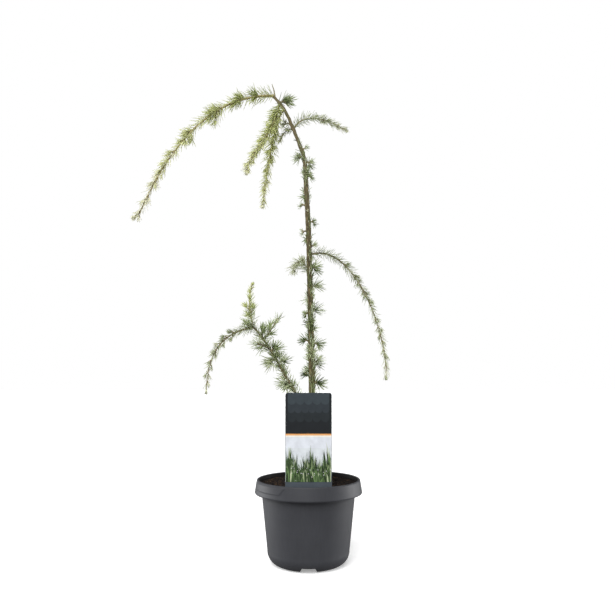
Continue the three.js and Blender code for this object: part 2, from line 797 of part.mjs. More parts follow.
/** Inner radius of the pot's wall at a height above its rounded foot. */
function innerRadiusAt(height) {
  if (height >= BAND_FOOT) {
    const flare = Math.min(1, (height - BAND_FOOT) / (INNER_BEND - BAND_FOOT));
    return THREE.MathUtils.lerp(POT.bodyTopRadius - POT.wall, POT.rimInnerRadius, flare);
  }
  const share = (height - POT.footRound) / (BAND_FOOT - POT.footRound);
  return THREE.MathUtils.lerp(POT.bodyFootRadius, POT.bodyTopRadius, share) - POT.wall;
}

/** A pot shell with a rolled foot, a flared rim band, drainage notches and a raised panel. */
function potSolid() {
  const { height, floor, footRound, floorRound, bandHeight, edge } = POT;
  const innerFoot = POT.bodyFootRadius - POT.wall;
  let pot = turned([
    [0, 0],
    ...arc(POT.bodyFootRadius - footRound, footRound, footRound, -90, 0),
    [POT.bodyTopRadius, BAND_FOOT],
    [POT.bandRadius, height - bandHeight],
    [POT.rimOuterRadius, height - edge],
    [POT.rimOuterRadius - edge, height],
    [POT.rimInnerRadius + edge, height],
    [POT.rimInnerRadius, height - edge],
    [POT.rimInnerRadius, INNER_BEND],
    [innerRadiusAt(BAND_FOOT), BAND_FOOT],
    ...arc(innerFoot - floorRound, floor + floorRound, floorRound, 0, -90),
    [0, floor],
  ]);

  const slope = (POT.bandRadius - POT.rimOuterRadius) / bandHeight;
  const bandRadiusAt = (level) => POT.rimOuterRadius + slope * (height - level);
  const panelRing = turned([
    [0, RIM_PANEL.bottom],
    [bandRadiusAt(RIM_PANEL.bottom) + RIM_PANEL.proud, RIM_PANEL.bottom],
    [bandRadiusAt(RIM_PANEL.top) + RIM_PANEL.proud, RIM_PANEL.top - RIM_PANEL.proud],
    [bandRadiusAt(RIM_PANEL.top) - RIM_PANEL.proud, RIM_PANEL.top],
    [0, RIM_PANEL.top],
  ]).subtract(turned([
    [0, RIM_PANEL.bottom - edge],
    [bandRadiusAt(height) - RIM_PANEL.sunk, RIM_PANEL.bottom - edge],
    [bandRadiusAt(height) - RIM_PANEL.sunk, RIM_PANEL.top + edge],
    [0, RIM_PANEL.top + edge],
  ]));
  const wedge = new THREE.Shape();
  wedge.moveTo(0, 0);
  wedge.absarc(0, 0, 2 * POT.bandRadius, radians(RIM_PANEL.startAngle), radians(RIM_PANEL.endAngle));
  const sector = new THREE.ExtrudeGeometry(wedge, { depth: height, bevelEnabled: false, curveSegments: 4 });
  pot = pot.add(panelRing.intersect(solidOf(meshOf(sector))));

  const { topWidth, bottomWidth, innerRadius, outerRadius } = NOTCH;
  const section = new THREE.Shape([
    new THREE.Vector2(-bottomWidth / 2, -POT.edge),
    new THREE.Vector2(bottomWidth / 2, -POT.edge),
    new THREE.Vector2(topWidth / 2, NOTCH.height),
    new THREE.Vector2(-topWidth / 2, NOTCH.height),
  ]);
  for (let i = 0; i < NOTCH.count; i += 1) {
    const depth = outerRadius - innerRadius;
    const notch = new THREE.ExtrudeGeometry(section, { depth, bevelEnabled: false })
      .translate(0, 0, innerRadius)
      .rotateX(Math.PI / 2)
      .rotateZ((2 * Math.PI * i) / NOTCH.count);
    pot = pot.subtract(solidOf(meshOf(notch)));
  }
  return pot;
}

/** Outline of the label as seen from the front, `extra` larger all round. */
function labelShape(extra) {
  const half = LABEL.width / 2 + extra;
  const neck = LABEL.neckWidth / 2 + extra;
  const tip = LABEL.spikeTipWidth / 2 + extra;
  const top = LABEL.top + extra;
  const corner = LABEL.cornerRadius + extra;
  const shape = new THREE.Shape();
  shape.moveTo(-tip, LABEL.spikeTip - extra);
  shape.lineTo(tip, LABEL.spikeTip - extra);
  shape.lineTo(neck, LABEL.neck);
  shape.lineTo(half, LABEL.shoulder);
  shape.lineTo(half, top - corner);
  shape.absarc(half - corner, top - corner, corner, 0, Math.PI / 2);
  shape.absarc(-half + corner, top - corner, corner, Math.PI / 2, Math.PI);
  shape.lineTo(-half, LABEL.shoulder);
  shape.lineTo(-neck, LABEL.neck);
  return shape;
}

/** The label's plate, or the slot for it when `extra` is the clearance. */
function labelSolid(extra) {
  const depth = LABEL.thickness + 2 * extra;
  const plate = new THREE.ExtrudeGeometry(labelShape(extra), { depth, bevelEnabled: false, curveSegments: 4 })
    .rotateX(Math.PI / 2)
    .translate(0, LABEL.front + LABEL.thickness + extra, 0);
  return solidOf(meshOf(plate));
}

/** The substrate inside the pot, with the label's slot. */
function soilSolid() {
  const innerFoot = POT.bodyFootRadius - POT.wall;
  const { floor, floorRound } = POT;
  return turned([
    [0, floor + GAP],
    ...arc(innerFoot - floorRound, floor + floorRound, floorRound - GAP, -90, 0),
    [innerRadiusAt(BAND_FOOT) - GAP, BAND_FOOT],
    [innerRadiusAt(INNER_BEND) - GAP, INNER_BEND],
    [innerRadiusAt(SOIL.edgeLevel) - GAP, SOIL.edgeLevel],
    [SOIL.crownRadius, SOIL.level],
    [SOIL.collarRadius, SOIL.collarLevel],
    [0, SOIL.collarLevel],
  ]).subtract(labelSolid(GAP));
}

// ---------------------------------------------------------------------------------------------------
// Assembly
// ---------------------------------------------------------------------------------------------------

/** A named mesh from a solid. */
function partMesh(name, solid, colour, roughness) {
  const mesh = solid.getMesh();
  const geometry = new THREE.BufferGeometry();
  geometry.setAttribute("position", new THREE.BufferAttribute(mesh.vertProperties, 3));
  geometry.setIndex(new THREE.BufferAttribute(mesh.triVerts, 1));
  geometry.computeVertexNormals();
  const material = new THREE.MeshStandardMaterial({ color: colour, roughness, metalness: 0 });
  const part = new THREE.Mesh(geometry, material);
  part.name = name;
  return part;
}

/** The trunk with its dead stub, `extra` thicker all round. */
function trunkSolid(limb, extra = 0) {
  const stubLine = new THREE.LineCurve3(
    new THREE.Vector3(...STUB.base), new THREE.Vector3(...STUB.tip));
  const stub = makeLimb(stubLine, new THREE.Vector3(0, 1, 0),
    (share) => THREE.MathUtils.lerp(STUB.radii[0], STUB.radii[1], share));
  const underground = new THREE.BoxGeometry(POT.bodyFootRadius, POT.bodyFootRadius, SOIL.collarLevel)
    .translate(0, 0, SOIL.collarLevel / 2 + GAP);
  return solidOf(limbMesh(limb, 0, limb.length, TRUNK, extra))
    .add(solidOf(limbMesh(stub, 0, stub.length, STUB, extra)))
    .subtract(solidOf(meshOf(underground)));
}

/** A solid's parts that a limb's end must clear, made thicker by the gap. */
function boughCutter(bough) {
  return solidOf(limbMesh(bough.limb, bough.from, bough.to, BOUGH, GAP));
}

function buildPlant() {
  const plan = planPlant();
  plan.trunkSpine = spine(plan.limbs.trunk, 0, plan.limbs.trunk.length);
  const group = new THREE.Group();

  group.add(partMesh("pot", potSolid(), PALETTE.pot, ROUGHNESS.pot));
  group.add(partMesh("soil", soilSolid(), PALETTE.soil, ROUGHNESS.soil));
  group.add(partMesh("plant_label", labelSolid(0), PALETTE.label, ROUGHNESS.label));
  group.add(partMesh("trunk", trunkSolid(plan.limbs.trunk), PALETTE.bark, ROUGHNESS.bark));

  const cutters = [trunkSolid(plan.limbs.trunk, GAP)];
  for (const bough of plan.boughs) {
    let solid = solidOf(limbMesh(bough.limb, bough.from, bough.to, BOUGH));
    for (const cutter of cutters) {
      solid = solid.subtract(cutter);
    }
    cutters.push(boughCutter(bough));
    group.add(partMesh(bough.name, largestPiece(solid), PALETTE.youngBark, ROUGHNESS.youngBark));
  }
  for (const mass of plan.masses) {
    const solid = massSolid(mass, plan, cutters);
    group.add(partMesh(mass.name, solid, PALETTE[mass.colour], ROUGHNESS.needles));
  }
  return group;
}

export default buildPlant();
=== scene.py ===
"""A young weeping blue atlas cedar in its nursery pot, laid out as a Blender add-on.

The packed model is the fixed frame, and each of its solids is replaced here by a finished piece in the
same place. Geometry is worked out in millimetres, with +Z up and the origin at the centre of the pot's
flat underside, and turned to metres when a mesh is made.

The plant is grown by the rule of its solids: limbs are cubic curves that spring from one another, cut
along their length into bare boughs and masses of foliage. Here the masses are carried on to ringed
spurs, buds and single needles, which keep to the space nearest their own stem.
"""

import math
from functools import partial
from itertools import pairwise
from types import SimpleNamespace as Table

import bpy
import numpy as np
from bpy.props import FloatProperty, FloatVectorProperty, IntProperty, PointerProperty
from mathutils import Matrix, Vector, noise


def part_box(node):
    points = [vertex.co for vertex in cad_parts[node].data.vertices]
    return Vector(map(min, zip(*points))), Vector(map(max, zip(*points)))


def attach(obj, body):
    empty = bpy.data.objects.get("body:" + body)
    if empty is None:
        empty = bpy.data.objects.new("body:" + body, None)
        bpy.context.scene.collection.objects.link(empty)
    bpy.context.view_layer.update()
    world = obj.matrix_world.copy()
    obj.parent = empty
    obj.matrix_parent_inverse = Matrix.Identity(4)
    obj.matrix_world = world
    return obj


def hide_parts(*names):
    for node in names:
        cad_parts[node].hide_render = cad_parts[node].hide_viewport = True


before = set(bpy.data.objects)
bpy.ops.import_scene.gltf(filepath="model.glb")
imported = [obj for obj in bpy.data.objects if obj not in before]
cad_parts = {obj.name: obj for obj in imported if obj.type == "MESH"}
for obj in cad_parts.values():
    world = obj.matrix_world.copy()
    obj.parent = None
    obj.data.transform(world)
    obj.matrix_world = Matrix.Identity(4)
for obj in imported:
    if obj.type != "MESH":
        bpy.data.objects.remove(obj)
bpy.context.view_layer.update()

bl_info = {
    "name": "Weeping Cedar in a Nursery Pot",
    "version": (1, 0, 0),
    "blender": (4, 5, 0),
    "location": "3D View > Sidebar > Cedar",
    "description": "Grows a young weeping blue atlas cedar with its pot, peat and plant label",
    "category": "Add Mesh",
}

MM = 1000.0
TURN = 2 * math.pi
GOLDEN_ANGLE = 137.5
UP = np.array([0.0, 0.0, 1.0])
# First seeds of what is drawn at random. A trunk tuft's seed is its height.
SEEDS = Table(tufts=101, masses=1000, boughs=2000, crumbs=41, meadow=7)


# ---- Sizes of the pot, the peat and the label, in millimetres, from the packed model where it has them ----

POT_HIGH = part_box("pot")[1] * MM
POT_HEIGHT = POT_HIGH.z
POT = Table(
    band_radius=POT_HIGH.x, band_height=24, rim_outer=POT_HIGH.x - 4, rim_inner=POT_HIGH.x - 8,
    lip_round=1.2, skirt_round=2.5, groove_top=128.5, body_top_radius=82, body_top=119,
    body_foot_radius=72, foot_round=24, floor=12, floor_round=15, inner_bend=129.8,
)
# Drainage notches round the foot, drainage holes in a ring, and the raised panel on the rim, between two
# headings in degrees.
NOTCH = Table(count=4, top_width=22, bottom_width=30, height=10, inner=34, outer=80)
DRAIN = Table(count=4, ring=40, radius=6, depth=8, edge=0.8)
RIM_PANEL = Table(proud=1.0, top=144, bottom=131, start=197, end_top=245, end_bottom=239)

SOIL = Table(edge_level=138, level=140.5, crown_radius=60, collar_radius=16, collar_level=141)

LABEL_LOW, LABEL_HIGH = (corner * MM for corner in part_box("plant_label"))
LABEL = Table(
    half_width=LABEL_HIGH.x, top=LABEL_HIGH.z, corner=4, shoulder=140, neck=126, half_neck=22,
    tip=LABEL_LOW.z, half_tip=5, front=LABEL_LOW.y, back=LABEL_HIGH.y,
)

# ---- Sizes of the plant, in millimetres and degrees: the same as those of its solids ----

GAP = 0.3
TRUNK_STATIONS = [
    # right, back, height, radius
    (0, 0, 135, 9.0),
    (1, 0, 157, 6.6),
    (6, 2, 263, 6.0),
    (5, 3, 382, 5.3),
    (3, 1, 463, 5.0),
    (0, -2, 591, 4.7),
    (-4, -1, 665, 4.3),
    (-8, 0, 725, 3.7),
    (-15, 1, 746, 3.3),
    (-28, 1, 780, 3.0),
    (-44, 0, 815, 2.8),
    (-65, 0, 842, 2.5),
]
STUB = Table(base=(-62, 0, 839), tip=(-67.5, 1, 865), radii=(1.6, 0.6), bend=(1.2, 0.4, 0))
# Room that foliage leaves to bare limbs, the label, the stems of other masses and its own stem, and the
# room that the heart of a rosette takes.
CLEARANCE = Table(limb=1.2, label=3, mass=1.6, own_stem=2)
HEART = 1.9
SPUR = Table(radii=(1.1, 0.9), lean=0.8, tip=1)
TUFT_STEM = Table(radii=(1.6, 1.3), lean=0.5, side_spur=6)
SPIRAL = Table(side_play=40, step_play=0.4, spur_play=(0.6, 1.3))

# Each limb is a cubic curve in the upright plane of its heading: reach across and rise up to its tip,
# launch and landing angles above level, and pulls, the handles' lengths as shares of the chord. `root`
# is the carrier, with a height on the trunk or a share of another limb's length. `pieces` cut it at
# distances from its root, and `tufts` are (distance along the limb, side, spur length), side 0 outward.
# What the solids leave out: `sprays` small sprays stand round each tuft, within a spread along the limb,
# and `brush` single needles grow along it, a step apart and of a length. `sweep` turns them towards the
# limb's tip. `taper` and `tones` are the needles' length, as a share, and their ages at root and tip, and
# `inner` is the share of them that the limb's inner side keeps.
LIMBS = {
    "leader": dict(
        root=("trunk", 842), heading=202, reach=241, rise=-246, launch=-6, landing=-69,
        pulls=(0.35, 0.38), radii=(2.4, 0.9), needle=14, kind="fresh",
        sprays=(5, 8), brush=(0.6, 18), sweep=(0.5, 0.9), taper=(1.4, 0.9), tones=(1.1, 4.4), inner=0.7,
        pieces=[
            ("leader_bough_inner", "bough", 0, 24),
            ("leader_foliage_inner", "mass", 24, 142),
            ("leader_bough_middle", "bough", 142, 165),
            ("leader_foliage_outer", "mass", 165, 208),
            ("leader_bough_outer", "bough", 208, 222),
            ("leader_foliage_tip", "mass", 222, 360),
        ],
        tufts=[
            (30, 10, 3), (61, 25, 3), (73, 120, 2), (109, -15, 4), (125, 40, 3), (118, 178, 15),
            (181, 25, 4), (180, -165, 9), (197, 140, 4),
            (230, 10, 3), (253, 40, 4), (276, -60, 3), (296, 20, 2), (322, 160, 2), (357, 0, 1),
        ],
    ),
    "pendant_front": dict(
        root=("trunk", 828), heading=219, reach=71, rise=-138, launch=-82, landing=-82,
        pulls=(0.36, 0.2), radii=(1.7, 0.9), needle=11, kind="fresh",
        sprays=(3, 14), brush=(0.3, 20), sweep=(0.5, 0.9), taper=(1.4, 0.8), tones=(1.3, 3.5),
        pieces=[("pendant_front_foliage", "mass", 0, 162)],
        tuft_step=12, spur=5,
    ),
    "pendant_back": dict(
        root=("trunk", 816), heading=135, reach=58, rise=-168, launch=-20, landing=-80,
        pulls=(0.17, 0.3), radii=(1.7, 0.9), needle=10, kind="fresh",
        sprays=(2, 14), brush=(0.42, 20), sweep=(0.5, 0.9), taper=(1.5, 0.75), tones=(1.0, 3.4),
        pieces=[("pendant_back_foliage", "mass", 0, 182)],
        tuft_step=14, spur=5,
    ),
    "crown": dict(
        root=("trunk", 829), heading=20, reach=13, rise=5, launch=40, landing=30,
        pulls=(0.3, 0.3), radii=(1.8, 1.2), needle=17, kind="old",
        sprays=(4, 5), brush=(0.4, 18), sweep=(0.5, 0.8), taper=(1.1, 1.1), tones=(0.4, 2.4),
        pieces=[("crown_tuft", "mass", 0, 15)],
        tufts=[(12, -60, 5), (15, 30, 1), (10, 120, 6)],
    ),
    "top_right": dict(
        root=("trunk", 779), heading=36, reach=120, rise=24, launch=62, landing=-15,
        pulls=(0.4, 0.32), radii=(1.6, 0.8), needle=9, kind="grey",
        sprays=(3, 7), brush=(0.36, 17), sweep=(0.5, 0.8), taper=(1.2, 1.0), tones=(0.8, 2.6), inner=0.7,
        pieces=[("top_right_bough", "bough", 0, 26), ("top_right_foliage", "mass", 26, 135)],
        tuft_step=14, spur=2,
    ),
    "top_left_upper": dict(
        root=("trunk", 789), heading=118, reach=34, rise=9, launch=15, landing=0,
        pulls=(0.38, 0.38), radii=(1.2, 0.8), needle=9, kind="grey",
        sprays=(2, 6), brush=(0.7, 13), sweep=(0.5, 0.8), taper=(1.1, 0.9), tones=(0.9, 2.3),
        pieces=[("top_left_foliage_upper", "mass", 0, 35)],
        tuft_step=11, spur=3,
    ),
    "top_left_lower": dict(
        root=("trunk", 780), heading=123, reach=45, rise=-9, launch=19, landing=-50,
        pulls=(0.37, 0.4), radii=(1.2, 0.8), needle=9, kind="grey",
        sprays=(2, 6), brush=(0.7, 13), sweep=(0.5, 0.8), taper=(1.1, 0.9), tones=(0.9, 2.3),
        pieces=[("top_left_foliage_lower", "mass", 0, 49)],
        tuft_step=12, spur=3,
    ),
    "right": dict(
        root=("trunk", 545), heading=29, reach=168, rise=-222, launch=22, landing=-93,
        pulls=(0.36, 0.31), radii=(1.7, 0.8), needle=9, kind="grey",
        sprays=(3, 4), brush=(0.5, 16), sweep=(0.5, 0.8), taper=(1.2, 0.95), tones=(0.5, 2.5), inner=0.6,
        pieces=[
            ("right_bough_upper", "bough", 0, 72),
            ("right_foliage_upper", "mass", 72, 184),
            ("right_bough_lower", "bough", 184, 196),
            ("right_foliage_lower", "mass", 196, 313),
        ],
        tufts=[
            (79, 10, 4), (109, 20, 4), (121, 190, 3), (144, 20, 4), (149, 200, 2), (164, -10, 4),
            (183, 190, 3), (201, 10, 4), (221, 0, 3), (234, 180, 2), (245, 30, 3), (262, 200, 2),
            (273, 20, 2), (292, 180, 2), (311, 0, 1),
        ],
    ),
    "middle_left": dict(
        root=("trunk", 514), heading=140, reach=40, rise=6, launch=60, landing=-65,
        pulls=(0.65, 0.65), radii=(1.3, 0.8), needle=11, kind="grey",
        sprays=(3, 8), brush=(0.3, 21), sweep=(0.4, 0.6), taper=(1.2, 1.0), tones=(1.0, 2.8),
        pieces=[("middle_left_foliage", "mass", 0, 54)],
        tuft_step=13, spur=4,
    ),
    "low": dict(
        root=("trunk", 258), heading=207, reach=113, rise=153, launch=46, landing=43,
        pulls=(0.38, 0.31), radii=(3.0, 1.9), kind="old",
        brush=(1.5, 19), sweep=(0.5, 0.7), taper=(1.0, 1.0), tones=(2.0, 3.8),
        pieces=[("low_bough", "bough", 0, 190)],
    ),
    "low_upright": dict(
        root=("low", 1), heading=150, reach=4, rise=78, launch=70, landing=104,
        pulls=(0.4, 0.4), radii=(1.3, 0.8), needle=12, kind="fresh",
        sprays=(1, 6), brush=(0.6, 18), sweep=(0.5, 0.8), taper=(1.4, 0.45), tones=(0.4, 2.4),
        pieces=[("low_upright_foliage", "mass", 1, 86)],
        tufts=[(18, 200, 7), (26, 10, 8), (33, 150, 5), (51, 60, 2), (60, 200, 2), (73, 20, 1), (84, 0, 1)],
    ),
    "low_weeping": dict(
        root=("low", 1), heading=216, reach=90, rise=-105, launch=-9, landing=-88,
        pulls=(0.45, 0.46), radii=(1.5, 0.8), needle=10, kind="grey",
        sprays=(1, 4), brush=(0.9, 15), sweep=(0.8, 1.0), taper=(1.15, 0.9), tones=(1.2, 3.0),
        pieces=[("low_weeping_bough", "bough", 1, 33), ("low_weeping_foliage", "mass", 33, 152)],
        tufts=[
            (39, 10, 5), (43, 185, 4), (55, 15, 5), (62, 190, 4), (72, 15, 4), (84, 40, 3),
            (87, 190, 3), (104, 30, 3), (111, 180, 3), (125, -40, 2), (139, 120, 2), (150, 0, 1),
        ],
    ),
    "low_right": dict(
        root=("low", 0.85), heading=46, reach=33, rise=38, launch=47, landing=53,
        pulls=(0.36, 0.36), radii=(1.5, 0.9), needle=15, kind="old",
        sprays=(1, 6), brush=(0.9, 20), sweep=(0.5, 0.8), taper=(1.2, 0.9), tones=(2.1, 3.9),
        pieces=[("low_right_foliage", "mass", 0, 50)],
        tufts=[(14, 180, 4), (23, 20, 4), (35, -60, 3), (48, 0, 1)],
    ),
    "low_left": dict(
        root=("low", 0.74), heading=228, reach=30, rise=9, launch=30, landing=0,
        pulls=(0.4, 0.4), radii=(1.4, 1.0), needle=20, kind="old",
        sprays=(2, 8), brush=(0.6, 20), sweep=(0.3, 0.6), taper=(1.0, 1.0), tones=(1.4, 3.4),
        pieces=[("low_left_foliage", "mass", 0, 32)],
        tufts=[(18, 180, 3), (31, 0, 1)],
    ),
}

# Tufts on short stems of their own: name, carrier, distance along it, side, stem length, rosettes.
BOUGH_TUFTS = [
    ("low_tuft_base", "low", 72, 165, 6, 3),
    ("low_tuft_lower", "low", 120, 195, 8, 2),
    ("low_tuft_middle", "low", 112, 25, 4, 2),
    ("low_tuft_upper", "low", 138, 30, 5, 2),
    ("low_tuft_end", "low", 171, 20, 6, 3),
    ("low_tuft_fork", "low_weeping", 6, 0, 5, 2),
]
BOUGH_TUFT_NEEDLE = 17
TUFT_SWEEP = 0.3
# What a limb's boughs and masses take over from its table.
LOOK = ("kind", "tones", "needle", "sprays", "brush", "sweep", "taper", "inner")
# Share of its stem that a tuft's needles start from, measured back from the rosette at its end.
TUFT_SEAT = 0.95

# What grows round the foot of such a tuft, straight on its carrier: how many small sprays, and how many
# needles for each millimetre, how far from it along the carrier, how strongly the needles lie along it,
# their share of the tuft's needle length, and the ages of all of them.
FOOT = {
    "bough": dict(sprays=3, density=1.0, spread=30, sweep=(0.2, 1.2), length=1.0, tones=(0.6, 4.4)),
    "trunk": dict(sprays=2, density=1.6, spread=36, sweep=(0.5, 3.0), length=0.85, tones=(0.0, 4.0)),
}
# How far round the carrier they stand to both sides of the tuft, in degrees, and how their length varies.
FOOT_PLAY = Table(turn=110, length=(0.65, 1.05))

# Tufts straight on the trunk: the heading of each side, and the height of each tuft with its share of the
# usual needle length.
TRUNK_TUFTS = Table(
    stem=(3.2, 5.5),
    heading_spread=44,
    rise=(-0.15, 0.35),
    twin=0.55,
    needle_at_soil=22,
    needle_at_tip=12,
    sides={
        "right": (0, [
            (741, 0.6), (718, 0.9), (689, 0.5), (605, 0.5), (560, 0.6), (523, 1), (488, 1.15), (442, 1.25),
            (386, 1), (353, 0.9), (313, 0.9),
        ]),
        "back": (90, [(655, 0.8), (575, 0.8), (470, 0.8), (410, 0.8), (335, 1)]),
        "left": (180, [(728, 1), (636, 0.35), (590, 0.35), (440, 0.4), (388, 0.8), (330, 0.6)]),
        "front": (270, [(697, 0.8), (420, 0.8), (366, 0.8)]),
    },
)


# ---- Colour and node helpers ----

def linear(hex_colour):
    """An sRGB hex value as linear red, green and blue."""
    channels = [int(hex_colour[i:i + 2], 16) / 255 for i in (1, 3, 5)]
    return tuple(c / 12.92 if c <= 0.04045 else ((c + 0.055) / 1.055) ** 2.4 for c in channels)


def rgba(colour):
    """A colour with full alpha, from a hex value or from linear red, green and blue."""
    return (*(linear(colour) if isinstance(colour, str) else colour), 1.0)


def shades(colour, *stops):
    """Ramp stops of one colour, made darker or lighter, from (position, factor) pairs."""
    return [(position, tuple(min(1, factor * c) for c in rgba(colour)[:3])) for position, factor in stops]


def add_node(tree, kind, settings=(), links=(), stops=()):
    """Adds a node with its settings, its links from a node's first live output or from a socket, and the
    (position, colour) stops of its ramp."""
    node = tree.nodes.new(kind)
    for name, value in dict(settings).items():
        if name in node.inputs:
            node.inputs[name].default_value = value
        else:
            setattr(node, name, value)
    for name, source in dict(links).items():
        if isinstance(source, bpy.types.Node):
            source = next(output for output in source.outputs if output.enabled)
        tree.links.new(source, node.inputs[name])
    for i, (position, colour) in enumerate(stops):
        elements = node.color_ramp.elements
        stop = elements[i] if i < len(elements) else elements.new(position)
        stop.position, stop.color = position, rgba(colour)
    return node


def empty_tree(owner):
    """Gives a material or a world an empty node tree, and returns add_node for that tree."""
    owner.use_nodes = True
    owner.node_tree.nodes.clear()
    return partial(add_node, owner.node_tree)


def new_material(name):
    """A material without nodes, and add_node for it."""
    material = bpy.data.materials.new(name)
    return material, empty_tree(material)


def mottle(node, size_mm, detail=3.0, roughness=0.55, stretch=(1, 1, 1)):
    """A cloudy pattern whose features are about size_mm across, drawn out along an axis by its stretch."""
    place = node("ShaderNodeTexCoord").outputs["Object"]
    scale = tuple(MM / (size_mm * s) for s in stretch)
    scaled = node("ShaderNodeMapping", {"Scale": scale}, {"Vector": place})
    look = {"Scale": 1.0, "Detail": detail, "Roughness": roughness}
    return node("ShaderNodeTexNoise", look, {"Vector": scaled})


def surface(node, settings, links):
    """Adds the material's surface shader, with plain values as settings and patterns as links."""
    shader = node("ShaderNodeBsdfPrincipled", settings, links)
    node("ShaderNodeOutputMaterial", {}, {"Surface": shader})


# ---- Mesh helpers ----

class Shape:
    """Corners in millimetres and faces, gathered for one piece."""

    def __init__(self):
        self.corners, self.relief = [], []
        self.faces, self.finishes = {3: [], 4: []}, {3: [], 4: []}
        self.count = 0

    def add(self, corners, *face_lists, finish=0, relief=0.5):
        """Adds corners and their faces, lists of triangles or of quads, with material numbers."""
        corners = np.asarray(corners, float).reshape(-1, 3)
        for i, faces in enumerate(face_lists):
            faces = np.asarray(faces, int)
            if len(faces):
                size = faces.shape[1]
                self.faces[size].append(faces + self.count)
                own = finish[i] if isinstance(finish, list) else finish
                self.finishes[size].append(np.broadcast_to(own, len(faces)))
        self.corners.append(corners)
        self.relief.append(np.broadcast_to(np.asarray(relief, float).ravel(), len(corners)))
        self.count += len(corners)

    def build(self, name, materials, smooth=True):
        """Makes the object, in metres, with its place in its mesh."""
        mesh = bpy.data.meshes.new(name)
        corners = np.concatenate(self.corners) / MM
        mesh.vertices.add(len(corners))
        mesh.vertices.foreach_set("co", corners.astype(np.float32).ravel())
        sizes = [size for size in (3, 4) if self.faces[size]]
        faces = [np.concatenate(self.faces[size]) for size in sizes]
        loops = np.concatenate([part.ravel() for part in faces]).astype(np.int32)
        totals = np.concatenate([np.full(len(part), part.shape[1]) for part in faces]).astype(np.int32)
        starts = np.concatenate([[0], np.cumsum(totals)[:-1]]).astype(np.int32)
        mesh.loops.add(len(loops))
        mesh.loops.foreach_set("vertex_index", loops)
        mesh.polygons.add(len(totals))
        mesh.polygons.foreach_set("loop_start", starts)
        mesh.polygons.foreach_set("loop_total", totals)
        finishes = np.concatenate([np.concatenate(self.finishes[size]) for size in sizes])
        mesh.polygons.foreach_set("material_index", finishes.astype(np.int32))
        mesh.polygons.foreach_set("use_smooth", np.full(len(totals), smooth))
        relief = mesh.attributes.new("relief", "FLOAT", "POINT")
        relief.data.foreach_set("value", np.concatenate(self.relief).astype(np.float32))
        mesh.update(calc_edges=True)
        mesh.validate()
        for material in materials:
            mesh.materials.append(material)
        piece = bpy.data.objects.new(name, mesh)
        bpy.context.scene.collection.objects.link(piece)
        return piece


def place_piece(piece, nodes):
    """Puts a finished piece on the object's one body, in place of its nodes of the packed model."""
    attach(piece, "root")
    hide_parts(*nodes)


def grid_faces(rows, columns):
    """Quads of a grid of corners whose columns close into a ring."""
    row = np.arange(rows - 1)[:, None] * columns
    here = np.arange(columns)[None, :]
    after = (here + 1) % columns
    return np.stack([row + here, row + after, row + columns + after, row + columns + here], -1).reshape(-1, 4)


def fan_faces(centre, ring, flip=False):
    """Triangles from a centre corner to a closed ring of corners."""
    ring = np.asarray(ring)
    after = np.roll(ring, -1)
    first, second = (after, ring) if flip else (ring, after)
    return np.stack([np.full(len(ring), centre), first, second], -1)


def blend(low, high, share):
    """A value between two others."""
    return low + (high - low) * share


def unit(vectors):
    """Vectors at length 1."""
    vectors = np.asarray(vectors, float)
    return vectors / np.linalg.norm(vectors, axis=-1, keepdims=True)


def smooth_step(value):
    """0 below 0, 1 above 1, and a soft rise between."""
    share = np.clip(value, 0, 1)
    return share * share * (3 - 2 * share)


def rough_noise(places, size, seed, octaves=3):
    """Smooth noise from about -1 to 1 at each place, with features about `size` across."""
    shift = Vector((13.7 * seed, 7.1 * seed, 3.3 * seed))
    flat = np.asarray(places, float).reshape(-1, 3) / size
    values = [noise.fractal(Vector(place) + shift, 0.9, 2.0, octaves) for place in flat]
    return np.reshape(values, np.shape(places)[:-1])


def bend(centre_radius, centre_height, radius, start, end, steps):
    """(radius, height) points round a quarter circle or so, between two angles in degrees."""
    angles = np.radians(np.linspace(start, end, steps + 1))
    return [(centre_radius + radius * math.cos(a), centre_height + radius * math.sin(a)) for a in angles]


def mirrored(right):
    """A closed outline in the upright plane, from its right half."""
    return right + [(-across, height) for across, height in reversed(right)]


def divided(points, step):
    """The same line of points with more of them, no further apart than a step."""
    finer = [points[0]]
    for before, after in pairwise(points):
        count = max(1, math.ceil(math.dist(before, after) / step))
        run = np.subtract(after, before)
        finer += [tuple(before + run * i / count) for i in range(1, count + 1)]
    return finer


def turned(shape, profile, columns, reshape=None, second_from=None):
    """A solid turned about the upright axis, of a second material from a row on. Its profile starts and ends
    on the axis."""
    inner = np.array(profile[1:-1], float)
    angle = np.arange(columns) * TURN / columns
    radius = np.repeat(inner[:, :1], columns, axis=1)
    height = np.repeat(inner[:, 1:], columns, axis=1)
    if reshape:
        radius, height = reshape(radius, height, np.broadcast_to(angle, radius.shape))
    corners = np.stack([radius * np.cos(angle), radius * np.sin(angle), height], -1)
    poles = [(0, 0, height[0].mean()), (0, 0, height[-1].mean())]
    count = len(inner) * columns
    first_ring = np.arange(columns)
    last_ring = first_ring + count - columns
    second = np.arange(len(inner) - 1) >= (len(inner) if second_from is None else second_from)
    shape.add(
        np.concatenate([corners.reshape(-1, 3), poles]),
        grid_faces(len(inner), columns),
        fan_faces(count, first_ring, flip=True),
        fan_faces(count + 1, last_ring),
        finish=[np.repeat(second.astype(int), columns), 0, int(second[-1])])


# ---- Materials ----

